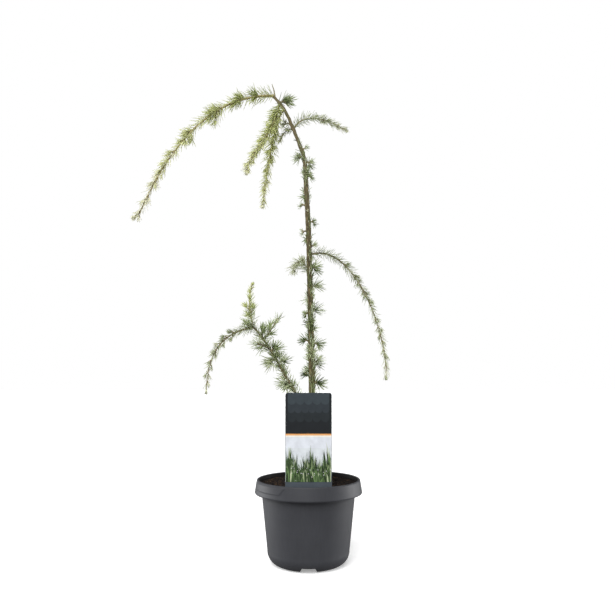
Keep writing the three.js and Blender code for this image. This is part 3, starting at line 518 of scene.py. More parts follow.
def moulded_polypropylene(settings):
    """Polypropylene, injection-moulded in an etched tool: a dull, even anthracite, with a soft grazing
    shine."""
    material, node = new_material("moulded_polypropylene")
    cloudy = mottle(node, 45, detail=2)
    # Melt flow lines run up the wall, some 2 mm apart.
    flow = mottle(node, 2.4, detail=2, stretch=(1, 1, 40))
    # The etched grain is 0.1 mm, too fine to show: it is drawn 0.7 mm across.
    grain = mottle(node, 0.7, detail=1)
    mixed = node("ShaderNodeMix", {"Factor": 0.35}, {"A": cloudy, "B": flow})
    tones = shades(settings.colour, (0.3, 1), (0.7, 1.25))
    surface(node, {"IOR": 1.49, "Specular IOR Level": 0.28}, {
        "Base Color": node("ShaderNodeValToRGB", {}, {"Fac": mixed}, tones),
        "Roughness": node("ShaderNodeMapRange", {"To Min": 0.52, "To Max": 0.64}, {"Value": mixed}),
        "Normal": node("ShaderNodeBump", {"Distance": settings.grain_depth}, {"Height": grain}),
    })
    return material


def inner_painted_shade_polypropylene():
    """The same polypropylene inside the pot: a peat stain and painted shade make it near black, with a little
    dust.
    """
    material, node = new_material("peat_stained_painted_shade_polypropylene")
    # Peat dust clings in clouds of about 9 mm.
    dust = mottle(node, 9, detail=4)
    # The tones below are near black: painted shade for the inside of the pot, over a peat stain.
    surface(node, {"Specular IOR Level": 0.2}, {
        "Base Color": node("ShaderNodeValToRGB", {}, {"Fac": dust}, [(0.4, "#060505"), (0.78, "#16120f")]),
        "Roughness": node("ShaderNodeMapRange", {"To Min": 0.5, "To Max": 0.8}, {"Value": dust}),
    })
    return material


def moist_peat(settings):
    """Sphagnum peat, milled and moist: matt, near black in its pores and warm brown on its crests."""
    material, node = new_material("milled_peat")
    relief = node("ShaderNodeAttribute", {"attribute_name": "relief"}).outputs["Fac"]
    # Peat fibres and grains are 0.5 to 2 mm.
    grains = mottle(node, 1.6, detail=4, roughness=0.7)
    mixed = node("ShaderNodeMix", {"Factor": 0.5}, {"A": relief, "B": grains})
    tones = [*shades(settings.colour, (0.32, 0.35), (0.52, 1)), (0.72, "#281d17")]
    surface(node, {"Roughness": 0.95, "Specular IOR Level": 0.25}, {
        "Base Color": node("ShaderNodeValToRGB", {}, {"Fac": mixed}, tones),
        "Normal": node("ShaderNodeBump", {"Distance": 0.9 / MM}, {"Height": grains}),
    })
    return material


def crumbly(name, dark, light):
    """Dry plant matter, screened peat, wood fibre or bud scales: matt, each bit of its own brown."""
    material, node = new_material(name)
    # Clouds of 4 mm are coarser than a crumb, so they tell the crumbs apart.
    which = mottle(node, 4, detail=0)
    # Grains and torn fibres are about 0.8 mm.
    fine = mottle(node, 0.8, detail=3)
    mixed = node("ShaderNodeMix", {"Factor": 0.4}, {"A": which, "B": fine})
    surface(node, {"Roughness": 0.92, "Specular IOR Level": 0.25}, {
        "Base Color": node("ShaderNodeValToRGB", {}, {"Fac": mixed}, [(0.35, dark), (0.65, light)]),
        "Normal": node("ShaderNodeBump", {"Distance": 0.3 / MM}, {"Height": fine}),
    })
    return material


def label_sheet(name, colour):
    """Polypropylene sheet, offset-printed and varnished: a flat even colour under a satin skin."""
    material, node = new_material(name)
    # The varnish has an orange-peel skin about 1.2 mm across.
    peel = mottle(node, 1.2, detail=1)
    # Ink lies a little unevenly, in clouds of about 12 mm.
    clouds = mottle(node, 12, detail=2)
    tones = shades(colour, (0.35, 0.93), (0.65, 1.06))
    surface(node, {"IOR": 1.49, "Roughness": 0.38, "Specular IOR Level": 0.25}, {
        "Base Color": node("ShaderNodeValToRGB", {}, {"Fac": clouds}, tones),
        "Normal": node("ShaderNodeBump", {"Distance": 0.01 / MM}, {"Height": peel}),
    })
    return material


def cedar_bark(name, crevice, face, crest, moss, pale, cork_mm):
    """Bark of a young cedar, grown and weathered: dull, grey-brown on its ridges and dark between them."""
    material, node = new_material(name)
    relief = node("ShaderNodeAttribute", {"attribute_name": "relief"}).outputs["Fac"]
    # Cork scales are 0.3 to 1 mm, drawn at the upper end.
    cork = mottle(node, cork_mm, detail=4, roughness=0.65)
    # Fissures and resin run up the stem in streaks about 2.5 mm wide.
    streaks = mottle(node, 2.5, detail=3, stretch=(1, 1, 8))
    rough = node("ShaderNodeMix", {"Factor": 0.5}, {"A": streaks, "B": cork})
    mixed = node("ShaderNodeMix", {"Factor": 0.5}, {"A": relief, "B": rough})
    wood = node("ShaderNodeValToRGB", {}, {"Fac": mixed}, [(0.34, crevice), (0.5, face), (0.66, crest)])
    # Green algae lie in patches of about 6 mm, drawn out along the stem.
    patches = mottle(node, 6, detail=3, stretch=(1, 1, 4))
    spread = {"From Min": 0.5, "From Max": 0.6, "To Max": 0.75}
    algae = node("ShaderNodeMapRange", spread, {"Value": patches})
    mossy = node("ShaderNodeMix", {"data_type": "RGBA", "B": rgba(moss)}, {"Factor": algae, "A": wood})
    # Bark is younger and paler higher up the plant.
    place = node("ShaderNodeTexCoord").outputs["Object"]
    height = node("ShaderNodeSeparateXYZ", {}, {"Vector": place}).outputs["Z"]
    ageing = {"From Min": 0.5, "From Max": 0.85, "To Max": 0.65}
    young = node("ShaderNodeMapRange", ageing, {"Value": height})
    aged = node("ShaderNodeMix", {"data_type": "RGBA", "B": rgba(pale)}, {"Factor": young, "A": mossy})
    bump = node("ShaderNodeBump", {"Distance": 0.35 / MM}, {"Height": mixed})
    surface(node, {"Roughness": 0.82, "Specular IOR Level": 0.3}, {"Base Color": aged, "Normal": bump})
    return material


def cedar_needle(name, colour):
    """A living cedar needle, stiff and waxed: satin green, with a pale bloom of wax at grazing angles."""
    material, node = new_material(name)
    # Stomatal bands are 0.1 mm lines, too fine to show: they are drawn as a 0.8 mm mottle.
    bands = mottle(node, 0.8, detail=1)
    tones = shades(colour, (0.3, 0.86), (0.7, 1.12))
    wax = {"Sheen Weight": 0.06, "Sheen Roughness": 0.4, "Sheen Tint": rgba("#e3ebdf")}
    surface(node, {"IOR": 1.45, "Specular IOR Level": 0.35, **wax}, {
        "Base Color": node("ShaderNodeValToRGB", {}, {"Fac": bands}, tones),
        "Roughness": node("ShaderNodeMapRange", {"To Min": 0.42, "To Max": 0.55}, {"Value": bands}),
    })
    return material


def floor_paper(settings):
    """Seamless background paper, matt coated: one pale tone that takes a soft shadow."""
    material, node = new_material("background_paper")
    # Paper fibres are 0.2 mm, too fine to show: they are drawn 1.5 mm across.
    fibres = mottle(node, 1.5, detail=2)
    tones = shades(settings.paper, (0.3, 0.985), (0.7, 1))
    paper = node("ShaderNodeValToRGB", {}, {"Fac": fibres}, tones)
    # Black flags stand on the paper out of view, so that it returns less light to the plant than it shows.
    seen = node("ShaderNodeLightPath").outputs["Is Camera Ray"]
    flagged = rgba(tuple(settings.bounce * c for c in settings.paper))
    colour = node("ShaderNodeMix", {"data_type": "RGBA", "A": flagged}, {"Factor": seen, "B": paper})
    # Light comes through it from below as well, which keeps it white close to the pot.
    glow = node("ShaderNodeMapRange", {"To Max": settings.glow}, {"Value": seen})
    plain = {"Roughness": 1.0, "Specular IOR Level": 0.0, "Emission Color": rgba(settings.paper)}
    surface(node, plain, {"Base Color": colour, "Emission Strength": glow})
    return material


# ---- Pot, substrate and label ----

# Corners round the pot and round the peat, and rings across the peat.
POT_COLUMNS = 480
PEAT_COLUMNS = 260
PEAT_RINGS = 130


def colour_property(name, description, colour):
    """A colour that a user can pick, with its default as a hex value."""
    return FloatVectorProperty(
        name=name, description=description, subtype="COLOR", size=3, default=linear(colour))


class PotSettings(bpy.types.PropertyGroup):
    """Sizes and colour of the pot."""

    wall: FloatProperty(
        name="Wall", description="Thickness of the moulded wall", default=0.0025, min=0.001, unit="LENGTH")
    grain_depth: FloatProperty(
        name="Grain depth", description="Depth of the tool's etched grain", default=0.00004, unit="LENGTH")
    colour: colour_property("Colour", "Colour of the plastic", "#36373b")


def pot_profile(wall):
    """The pot's cut from the centre of its underside, up its wall and round its rim to its inner floor."""
    foot = POT.foot_round
    skirt = POT.skirt_round
    lip = POT.lip_round
    slope = (POT.band_radius - POT.rim_outer) / POT.band_height
    skirt_bottom = POT_HEIGHT - POT.band_height
    skirt_centre = POT.band_radius - slope * skirt - skirt
    inner_foot = POT.body_foot_radius - wall
    inner_round = POT.floor_round
    outside = divided([(0, 0), (POT.body_foot_radius - foot, 0)], 2)
    outside += bend(POT.body_foot_radius - foot, foot, foot, -90, 0, 28)[1:]
    outside += divided([outside[-1], (POT.body_top_radius, POT.body_top)], 5)[1:]
    # The groove behind the skirt runs up from the body, over its round top and down inside the skirt.
    groove = [
        outside[-1],
        (POT.body_top_radius + 1, POT.body_top + 2.2),
        (POT.rim_outer - 3.4, POT.groove_top - 0.6),
        (POT.rim_outer - 2.2, POT.groove_top),
        (POT.rim_outer - 1.0, POT.groove_top - 0.8),
        (skirt_centre - 0.6, skirt_bottom + 0.5),
    ]
    outside += divided(groove, 2)[1:]
    outside += bend(skirt_centre, skirt_bottom + skirt, skirt, -90, 10, 8)
    outside += divided([outside[-1], (POT.rim_outer + slope * lip, POT_HEIGHT - lip)], 1)[1:]
    outside += bend(POT.rim_outer - lip, POT_HEIGHT - lip, lip, 20, 90, 4)
    inside = bend(POT.rim_inner + lip, POT_HEIGHT - lip, lip, 90, 180, 4)
    inside += [(POT.rim_inner, POT.inner_bend), (POT.body_top_radius - wall, POT.body_top)]
    inside += bend(inner_foot - inner_round, POT.floor + inner_round, inner_round, 0, -90, 6)
    inside += divided([inside[-1], (0, POT.floor)], 12)[1:]
    return outside + inside, len(outside)


def shape_pot_skin(outside_rows):
    """Moves the pot's outer skin: drainage notches and holes into its foot, and the panel out of its rim."""
    def reshape(radius, height, angle):
        outside = (np.arange(len(radius)) < outside_rows)[:, None]
        raised = np.array(height)
        flank = (NOTCH.bottom_width - NOTCH.top_width) / 2
        for i in range(NOTCH.count):
            turn = angle - TURN * i / NOTCH.count
            across = np.abs(radius * np.sin(turn))
            out = radius * np.cos(turn)
            depth = np.clip((NOTCH.bottom_width / 2 - across) / flank, 0, 1) * NOTCH.height
            depth = depth * smooth_step(out - NOTCH.inner) * (out < NOTCH.outer)
            raised = np.maximum(raised, depth)
        for i in range(DRAIN.count):
            turn = TURN * (i + 0.5) / DRAIN.count
            offset = np.hypot(
                radius * np.cos(angle) - DRAIN.ring * math.cos(turn),
                radius * np.sin(angle) - DRAIN.ring * math.sin(turn))
            depth = DRAIN.depth * smooth_step((DRAIN.radius - offset) / DRAIN.edge)
            raised = np.maximum(raised, depth)
        height = np.where(outside & (height < NOTCH.height), raised, height)

        degrees = np.degrees(angle)
        foot, top = RIM_PANEL.bottom, RIM_PANEL.top
        end = blend(RIM_PANEL.end_bottom, RIM_PANEL.end_top, (height - foot) / (top - foot))
        within = smooth_step(degrees - RIM_PANEL.start) * smooth_step(end - degrees)
        within = within * smooth_step(height - foot) * smooth_step(top - height)
        on_band = outside & (radius > POT.rim_outer) & (height > foot - 1)
        return radius + np.where(on_band, RIM_PANEL.proud * within, 0), height
    return reshape


class CEDAR_OT_pot(bpy.types.Operator):
    """Turn the three-litre nursery pot, with its skirted rim, raised rim panel and notched foot"""

    bl_idname = "cedar.pot"
    bl_label = "Nursery pot"

    def execute(self, context):
        settings = context.scene.cedar_pot
        profile, outside_rows = pot_profile(settings.wall * MM)
        shape = Shape()
        # The inside, from just under the lip, takes the near-black material of painted shade and peat stain.
        turned(shape, profile, POT_COLUMNS, shape_pot_skin(outside_rows - 1), second_from=outside_rows + 2)
        piece = shape.build("nursery_pot", [moulded_polypropylene(settings), inner_painted_shade_polypropylene()])
        place_piece(piece, ["pot"])
        return {"FINISHED"}


class SubstrateSettings(bpy.types.PropertyGroup):
    """Sizes and colour of the peat."""

    roughness: FloatProperty(
        name="Relief", description="Height of the peat's bumps", default=0.0016, unit="LENGTH")
    crumbs: IntProperty(name="Crumbs", description="How many loose crumbs lie on it", default=1500, min=0)
    fibres: IntProperty(name="Fibres", description="How many wood fibres lie on it", default=130, min=0)
    colour: colour_property("Colour", "Colour of the moist peat", "#130d0a")


# The peat's lumps, as shares of its relief and sizes across.
PEAT_LUMPS = [(0.55, 14), (0.6, 4), (0.3, 1.5)]

# Loose crumbs: how far they keep from the rim, their radius, how flat and how uneven they are, how high
# they lie as a share of that radius, and the share of bark among them. Fibres: how far they keep from the
# rim, their length, how far they curl, the radius of their ends and how much more their middle has, and
# how high they lie.
CRUMB = Table(inset=2.5, radius=(0.5, 2.0), flatness=(0.5, 1.2), play=(0.75, 1.25), seat=0.25, bark=0.3)
FIBRE = Table(inset=8.5, length=(5, 13), curl=0.25, end=0.15, swell=0.2, lift=0.9)


def peat_level(settings, across, along):
    """Height of the peat's surface at places given by right and back, and its lumps there."""
    plain = np.interp(
        np.hypot(across, along), [0, SOIL.collar_radius, SOIL.crown_radius, POT.rim_inner],
        [SOIL.collar_level, SOIL.collar_level, SOIL.level, SOIL.edge_level])
    places = np.stack([across, along, np.zeros_like(across)], -1)
    lumps = sum(share * rough_noise(places, size, seed) for seed, (share, size) in enumerate(PEAT_LUMPS, 1))
    return plain + settings.roughness * MM * lumps, lumps


def lumpy_ball(rings=3, sides=6):
    """Corners and faces of a ball of unit radius with few faces."""
    tilt = np.pi * (np.arange(rings) + 1)[:, None] / (rings + 1)
    turn = np.arange(sides) * TURN / sides
    heights = np.repeat(np.cos(tilt), sides, axis=1)
    belts = np.stack([np.sin(tilt) * np.cos(turn), np.sin(tilt) * np.sin(turn), heights], -1)
    corners = np.concatenate([belts.reshape(-1, 3), [(0, 0, 1), (0, 0, -1)]])
    first = np.arange(sides)
    count = rings * sides
    ends = [fan_faces(count, first), fan_faces(count + 1, first + count - sides, flip=True)]
    return corners, grid_faces(rings, sides)[:, ::-1], np.concatenate(ends)


def peat_crumbs(settings):
    """Loose crumbs and fibres lying on the peat."""
    random = np.random.default_rng(SEEDS.crumbs)
    shape = Shape()
    ball, quads, triangles = lumpy_ball()
    for _ in range(settings.crumbs):
        radius = (POT.rim_inner - CRUMB.inset) * math.sqrt(random.random())
        turn = TURN * random.random()
        right, back = radius * math.cos(turn), radius * math.sin(turn)
        size = blend(*CRUMB.radius, random.random() ** 3)
        level, _ = peat_level(settings, np.array([right]), np.array([back]))
        flatness = blend(*CRUMB.flatness, random.random(3))
        lumps = ball * blend(*CRUMB.play, random.random((len(ball), 1))) * flatness * size
        spin = Vector((0, 0, 1)).rotation_difference(Vector(random.normal(size=3))).to_matrix()
        corners = lumps @ np.array(spin).T + (right, back, level[0] + CRUMB.seat * size)
        shape.add(corners, quads, triangles, finish=int(random.random() < CRUMB.bark))
    share = np.linspace(-1, 1, 7)[:, None]
    for _ in range(settings.fibres):
        radius = (POT.rim_inner - FIBRE.inset) * math.sqrt(random.random())
        turn, heading = TURN * random.random(2)
        middle = np.array([radius * math.cos(turn), radius * math.sin(turn)])
        length = blend(*FIBRE.length, random.random())
        curl = (share ** 2 - 0.5) * length * FIBRE.curl * random.uniform(-1, 1)
        ahead = np.array([math.cos(heading), math.sin(heading)])
        side = np.array([-ahead[1], ahead[0]])
        flat = middle + share / 2 * length * ahead + curl * side
        level, _ = peat_level(settings, *flat.T)
        fibre = Limb(
            np.column_stack([flat, level + FIBRE.lift]), (*side, 0),
            lambda along: FIBRE.end + FIBRE.swell * (1 - np.abs(2 * along - 1)))
        skin(shape, fibre, 0, fibre.length, "fibre", finish=2)
    return shape


class CEDAR_OT_substrate(bpy.types.Operator):
    """Fill the pot with moist peat, with loose crumbs and wood fibres on it"""

    bl_idname = "cedar.substrate"
    bl_label = "Peat substrate"

    def execute(self, context):
        settings = context.scene.cedar_substrate
        wall = context.scene.cedar_pot.wall * MM
        inner_round = POT.floor_round
        edge = POT.rim_inner - GAP
        sides = [(0, POT.floor + GAP)]
        sides += bend(
            POT.body_foot_radius - wall - inner_round, POT.floor + inner_round, inner_round - GAP,
            -90, 0, 6)
        sides += [(POT.body_top_radius - wall - GAP, POT.body_top), (edge, POT.inner_bend)]
        top = [(radius, SOIL.level) for radius in np.linspace(edge, 0, PEAT_RINGS)]

        def reshape(radius, height, angle):
            on_top = (np.arange(len(radius)) >= len(sides) - 1)[:, None]
            level, _ = peat_level(settings, radius * np.cos(angle), radius * np.sin(angle))
            return radius, np.where(on_top, level, height)

        shape = Shape()
        turned(shape, sides + top, PEAT_COLUMNS, reshape)
        _, lumps = peat_level(settings, *shape.corners[0][:, :2].T)
        shape.relief[0] = 0.5 + 0.5 * lumps
        place_piece(shape.build("peat", [moist_peat(settings)]), ["soil"])

        finishes = [
            crumbly("screened_peat", "#0c0806", "#261c16"),
            crumbly("screened_bark", "#1c140f", "#453527"),
            crumbly("wood_fibre", "#33261b", "#5f4a34"),
        ]
        place_piece(peat_crumbs(settings).build("peat_crumbs", finishes), ["soil"])
        return {"FINISHED"}


class LabelSettings(bpy.types.PropertyGroup):
    """Colours of the label."""

    ground: colour_property("Ground", "Colour of the card", "#4c535a")
    stripe: colour_property("Stripe", "Colour of the stripe", "#e3a468")
    blades: IntProperty(name="Blades", description="How many grass blades are printed", default=420, min=0)


def top_corner(inset=0):
    """The card's round top corner on the right, from the side up to the top edge."""
    corner = LABEL.corner - inset
    half, top = LABEL.half_width - inset, LABEL.top - inset
    return bend(half - corner, top - corner, corner, 0, 90, 8)


def label_outline():
    """The card's outline from the front: square shoulders, round top corners and a tapering spike."""
    tip, neck = (LABEL.half_tip, LABEL.tip), (LABEL.half_neck, LABEL.neck)
    return mirrored([tip, neck, (LABEL.half_width, LABEL.shoulder), *top_corner()])


def add_plate(shape, outline, front, back, finish=0):
    """A flat plate of an outline in the upright plane, between two depths."""
    flat = np.array(outline, float)
    count = len(flat)
    flat = np.concatenate([flat, flat, [flat.mean(axis=0)] * 2])
    depths = np.repeat([front, back, front, back], [count, count, 1, 1])
    ring = np.arange(count)
    after = np.roll(ring, -1)
    edge = np.stack([ring, ring + count, after + count, after], -1)
    faces = np.concatenate([fan_faces(2 * count, ring), fan_faces(2 * count + 1, ring + count, flip=True)])
    shape.add(np.column_stack([flat[:, 0], depths, flat[:, 1]]), edge, faces, finish=finish)


# The print: rows of round-ended tongues hang down a dark slate panel, above a plain stripe and a meadow of
# grass blades under a pale sky. Heights are those of the plate's own frame. `film` is how far the first
# layer stands proud, and `layer` how far each one more. Blades and flowers have half widths or radii and
# heights above the meadow's foot; the first blades are the tallest. A blade's belly is at shares of its
# lean, its half width and its height.
PRINT = Table(
    edge=0.6, panel_foot=231.8, tongue_rows=[(5, 251), (6, 266), (5, 280)], stripe=(229.0, 231.8),
    line=(226.6, 229.0), sky=(152.5, 226.6), layer=0.0012, film=0.02,
)
BLADE = Table(half=(0.5, 1.6), height=(60, 20), play=(0.8, 1.1), lean=4, belly=(0.35, 0.8, 0.6))
FLOWER = Table(count=24, radius=(0.4, 0.8), height=(2, 26), colour="#dcd5df")
PANEL_COLOURS = ["#1f2225", "#272c2f", "#31373c", "#3a4247"]
SKY_COLOURS = ["#bfc7c1", "#cbd2d1", "#d5dade", "#dadee5"]
# Each green with the share of the blades that it colours.
GRASS_COLOURS = {
    "#26331f": 0.22, "#35462c": 0.24, "#475d38": 0.2, "#607a4b": 0.16, "#86996c": 0.1, "#bcc6a2": 0.08}


def print_shape(settings):
    """The label's printed layers, each a film a little in front of the last."""
    random = np.random.default_rng(SEEDS.meadow)
    shape = Shape()
    half = LABEL.half_width - PRINT.edge
    depth = PRINT.film

    def add_film(outline, finish):
        nonlocal depth
        depth += PRINT.layer
        add_plate(shape, outline, LABEL.front - depth, LABEL.front + PRINT.film, finish)

    def add_block(low, high, finish):
        add_film([(-half, low), (half, low), (half, high), (-half, high)], finish)

    add_film(mirrored([(half, PRINT.panel_foot), *top_corner(PRINT.edge)]), 0)
    inner = half - (LABEL.corner - PRINT.edge)
    top = LABEL.top - PRINT.edge
    for row, (count, foot) in enumerate(PRINT.tongue_rows):
        width = 2 * inner / count
        for i in range(count):
            middle = -inner + width * (i + 0.5)
            tongue = bend(middle, foot + width / 2, width / 2, 180, 360, 12)
            add_film([(middle - width / 2, top), *tongue, (middle + width / 2, top)], 1 + row)

    first_sky = len(PANEL_COLOURS)
    first_grass = first_sky + len(SKY_COLOURS)
    flower = first_grass + len(GRASS_COLOURS)
    ground, sky_top = PRINT.sky
    for i in range(len(SKY_COLOURS)):
        add_block(ground + (sky_top - ground) * i / len(SKY_COLOURS), sky_top, first_sky + i)
    add_block(*PRINT.stripe, flower + 1)
    add_block(*PRINT.line, flower + 2)

    belly_lean, belly_half, belly_level = BLADE.belly
    for i in range(settings.blades):
        width = random.uniform(*BLADE.half)
        foot = random.uniform(-half + width, half - width)
        # Blades stand in clumps.
        clump = 0.8 + 0.2 * math.sin(0.19 * foot + 1.1) + 0.12 * math.sin(0.53 * foot)
        tall = blend(*BLADE.height, i / settings.blades) * clump * random.uniform(*BLADE.play)
        tall = min(tall, sky_top - ground - 2)
        lean = np.clip(random.normal(0, BLADE.lean), -half - foot + 1, half - foot - 1)
        belly, level = foot + belly_lean * lean, ground + belly_level * tall
        blade = [
            (foot - width, ground),
            (foot + width, ground),
            (belly + width * belly_half, level),
            (foot + lean, ground + tall),
            (belly - width * belly_half, level),
        ]
        green = random.choice(len(GRASS_COLOURS), p=list(GRASS_COLOURS.values()))
        add_film([(np.clip(across, -half, half), up) for across, up in blade], first_grass + int(green))
    for _ in range(FLOWER.count):
        across = random.uniform(-half + 1, half - 1)
        level = ground + random.uniform(*FLOWER.height)
        add_film(bend(across, level, random.uniform(*FLOWER.radius), 0, 315, 7), flower)
    return shape


class CEDAR_OT_plant_label(bpy.types.Operator):
    """Cut the stick-in plant label and print its plain meadow design"""

    bl_idname = "cedar.plant_label"
    bl_label = "Plant label"

    def execute(self, context):
        settings = context.scene.cedar_label
        shape = Shape()
        add_plate(shape, label_outline(), LABEL.front, LABEL.back)
        card = label_sheet("printed_slate_card", settings.ground)
        place_piece(shape.build("label_card", [card], smooth=False), ["plant_label"])
        inks = [
            label_sheet(f"ink_{name}_{i + 1}", colour)
            for name, colours in (("slate", PANEL_COLOURS), ("sky", SKY_COLOURS), ("grass", GRASS_COLOURS))
            for i, colour in enumerate(colours)]
        inks += [
            label_sheet("ink_flower", FLOWER.colour),
            label_sheet("ink_orange", settings.stripe),
            label_sheet("ink_cream", "#efe9dc"),
        ]
        print_piece = print_shape(settings).build("label_print", inks, smooth=False)
        place_piece(print_piece, ["plant_label"])
        return {"FINISHED"}


# ---- Limbs, by the rule of the plant's solids ----

def seeded(seed):
    """Seeded numbers from 0 to 1, the same as those that place the solids' tufts."""
    state = ((seed + 1) * 2654435761) & 0xFFFFFFFF

    def draw():
        nonlocal state
        state = (state * 1664525 + 1013904223) & 0xFFFFFFFF
        return state / 4294967296
    return draw


class Limb:
    """A limb: its centre line, the level direction across it, and its radius by share of its length."""

    def __init__(self, line, across, radius_at_share):
        self.line = np.asarray(line, float)
        steps = np.linalg.norm(np.diff(self.line, axis=0), axis=1)
        self.marks = np.concatenate([[0], np.cumsum(steps)])
        self.length = self.marks[-1]
        self.across = np.asarray(across, float)
        self.radius_at_share = radius_at_share

    def points(self, along):
        """Points of the centre line at distances along it."""
        return np.stack([np.interp(along, self.marks, self.line[:, k]) for k in range(3)], -1)

    def frames(self, along):
        """Points, growing directions, outer sides, cross sides and radii at distances along the limb."""
        along = np.clip(np.atleast_1d(along), 0, self.length)
        # The growing direction is that of a short stretch round each place.
        near = 0.4
        ahead = self.points(np.minimum(along + near, self.length))
        behind = self.points(np.maximum(along - near, 0))
        forward = unit(ahead - behind)
        outer = unit(np.cross(forward, self.across))
        cross = np.cross(outer, forward)
        return self.points(along), forward, outer, cross, self.radius_at_share(along / self.length)

    def frame(self, along):
        """The same at one distance."""
        return [values[0] for values in self.frames(along)]

    def run(self):
        """Direction from its root to its end."""
        return unit(self.line[-1] - self.line[0])

    def along_at_height(self, height):
        """Distance along the limb at which it first reaches a height."""
        return float(np.interp(height, self.line[:, 2], self.marks))


def sideways(outer, cross, degrees):
    """Direction square to a limb at an angle round it from its outer side."""
    return math.cos(math.radians(degrees)) * outer + math.sin(math.radians(degrees)) * cross


def round_limb(outer, cross, angles):
    """The same in arrays, with a row of frames and angles in radians."""
    return outer * np.cos(angles)[..., None] + cross * np.sin(angles)[..., None]


def trunk_limb():
    """The trunk's limb: a centripetal curve through its stations."""
    points = np.array([station[:3] for station in TRUNK_STATIONS], float)
    ends = np.concatenate([[2 * points[0] - points[1]], points, [2 * points[-1] - points[-2]]])
    line = [points[0]]
    for p0, p1, p2, p3 in zip(ends, ends[1:], ends[2:], ends[3:]):
        d0, d1, d2 = (math.sqrt(math.dist(a, b)) for a, b in ((p0, p1), (p1, p2), (p2, p3)))
        start = ((p1 - p0) / d0 - (p2 - p0) / (d0 + d1) + (p2 - p1) / d1) * d1
        end = ((p2 - p1) / d1 - (p3 - p1) / (d1 + d2) + (p3 - p2) / d2) * d1
        t = np.linspace(0, 1, 61)[1:, None]
        line += list(
            (2 * t**3 - 3 * t**2 + 1) * p1 + (t**3 - 2 * t**2 + t) * start
            + (3 * t**2 - 2 * t**3) * p2 + (t**3 - t**2) * end)
    lengths = np.concatenate([[0], np.cumsum(np.linalg.norm(np.diff(points, axis=0), axis=1))])
    radii = [station[3] for station in TRUNK_STATIONS]
    return Limb(line, (0, 1, 0), lambda share: np.interp(share, lengths / lengths[-1], radii))


def arching_limb(size, limbs):
    """A limb from its named sizes, springing from its carrier's centre line."""
    carrier_name, place = size["root"]
    carrier = limbs[carrier_name]
    along = carrier.along_at_height(place) if carrier_name == "trunk" else place * carrier.length
    start = carrier.points(along)
    turn = math.radians(size["heading"])
    outward = np.array([math.cos(turn), math.sin(turn), 0.0])
    launch, landing = (sideways(outward, UP, size[name]) for name in ("launch", "landing"))
    chord = math.hypot(size["reach"], size["rise"])
    end = start + size["reach"] * outward + size["rise"] * UP
    first = start + launch * chord * size["pulls"][0]
    second = end - landing * chord * size["pulls"][1]
    t = np.linspace(0, 1, 401)[:, None]
    line = (1 - t)**3 * start + 3 * (1 - t)**2 * t * first + 3 * (1 - t) * t**2 * second + t**3 * end
    radii = size["radii"]
    return Limb(line, (-math.sin(turn), math.cos(turn), 0), lambda share: blend(*radii, share))


def straight_stem(carrier, along, direction, length, radii):
    """A short straight stem square to a carrier, or nearly so."""
    start, _, _, _, radius = carrier.frame(along)
    end = start + direction * (radius + length)
    level = math.hypot(direction[0], direction[1]) or 1
    across = (-direction[1] / level, direction[0] / level, 0)
    return Limb([start, end], across, lambda share: blend(*radii, share))


class Spine:
    """Points along a stretch of a limb, for measuring how near something is."""

    def __init__(self, limb, start, end):
        steps = max(1, math.ceil((end - start) / 3))
        self.points, *_, self.radii = limb.frames(np.linspace(start, end, steps + 1))

    def distances(self, places, from_surface=False):
        """Distance from each place to the spine, less the limb's own radius there when asked."""
        start = self.points[:-1]
        run = self.points[1:] - start
        offset = places[:, None] - start
        share = np.clip((offset * run).sum(-1) / (run * run).sum(-1), 0, 1)
        away = np.linalg.norm(offset - share[..., None] * run, axis=-1)
        if from_surface:
            away = away - np.maximum(self.radii[:-1], self.radii[1:])
        return away.min(axis=1)


def spiral_tufts(start, end, step, spur, draw):
    """Evenly stepped tufts in the cedar's spiral order, with some play, and one at the tip."""
    count = max(1, math.floor((end - start) / step))
    tufts = []
    for i in range(count):
        behind_tip = count - 1 - i
        side = GOLDEN_ANGLE * i + SPIRAL.side_play * (draw() - 0.5)
        along = end - 1 - step * (behind_tip + SPIRAL.step_play * draw())
        length = spur * blend(*SPIRAL.spur_play, draw())
        tufts.append((end - 1, side, SPUR.tip) if behind_tip == 0 else (along, side, length))
    return tufts


class Stretch:
    """A stretch of a limb, a bare bough or a mass of foliage, with its tufts and the look of its needles."""

    def __init__(
            self, name, limb, start, end, tufts, kind, tones, needle=0, sprays=(1, 3), foot=None, brush=None,
            sweep=(TUFT_SWEEP, 0), taper=(1, 1), inner=1.0):
        self.name, self.limb, self.start, self.end, self.tufts = name, limb, start, end, tufts
        self.kind, self.tones, self.needle, self.sprays = kind, tones, needle, sprays
        self.foot, self.brush, self.sweep, self.taper, self.inner = foot, brush, sweep, taper, inner
        self.spine = Spine(limb, start, end)

    def share(self, along):
        """How far along its limb a place lies, from 0 to 1."""
        return along / self.limb.length

    def at_root(self):
        """Whether it begins where its limb leaves its carrier."""
        return self.start < 2


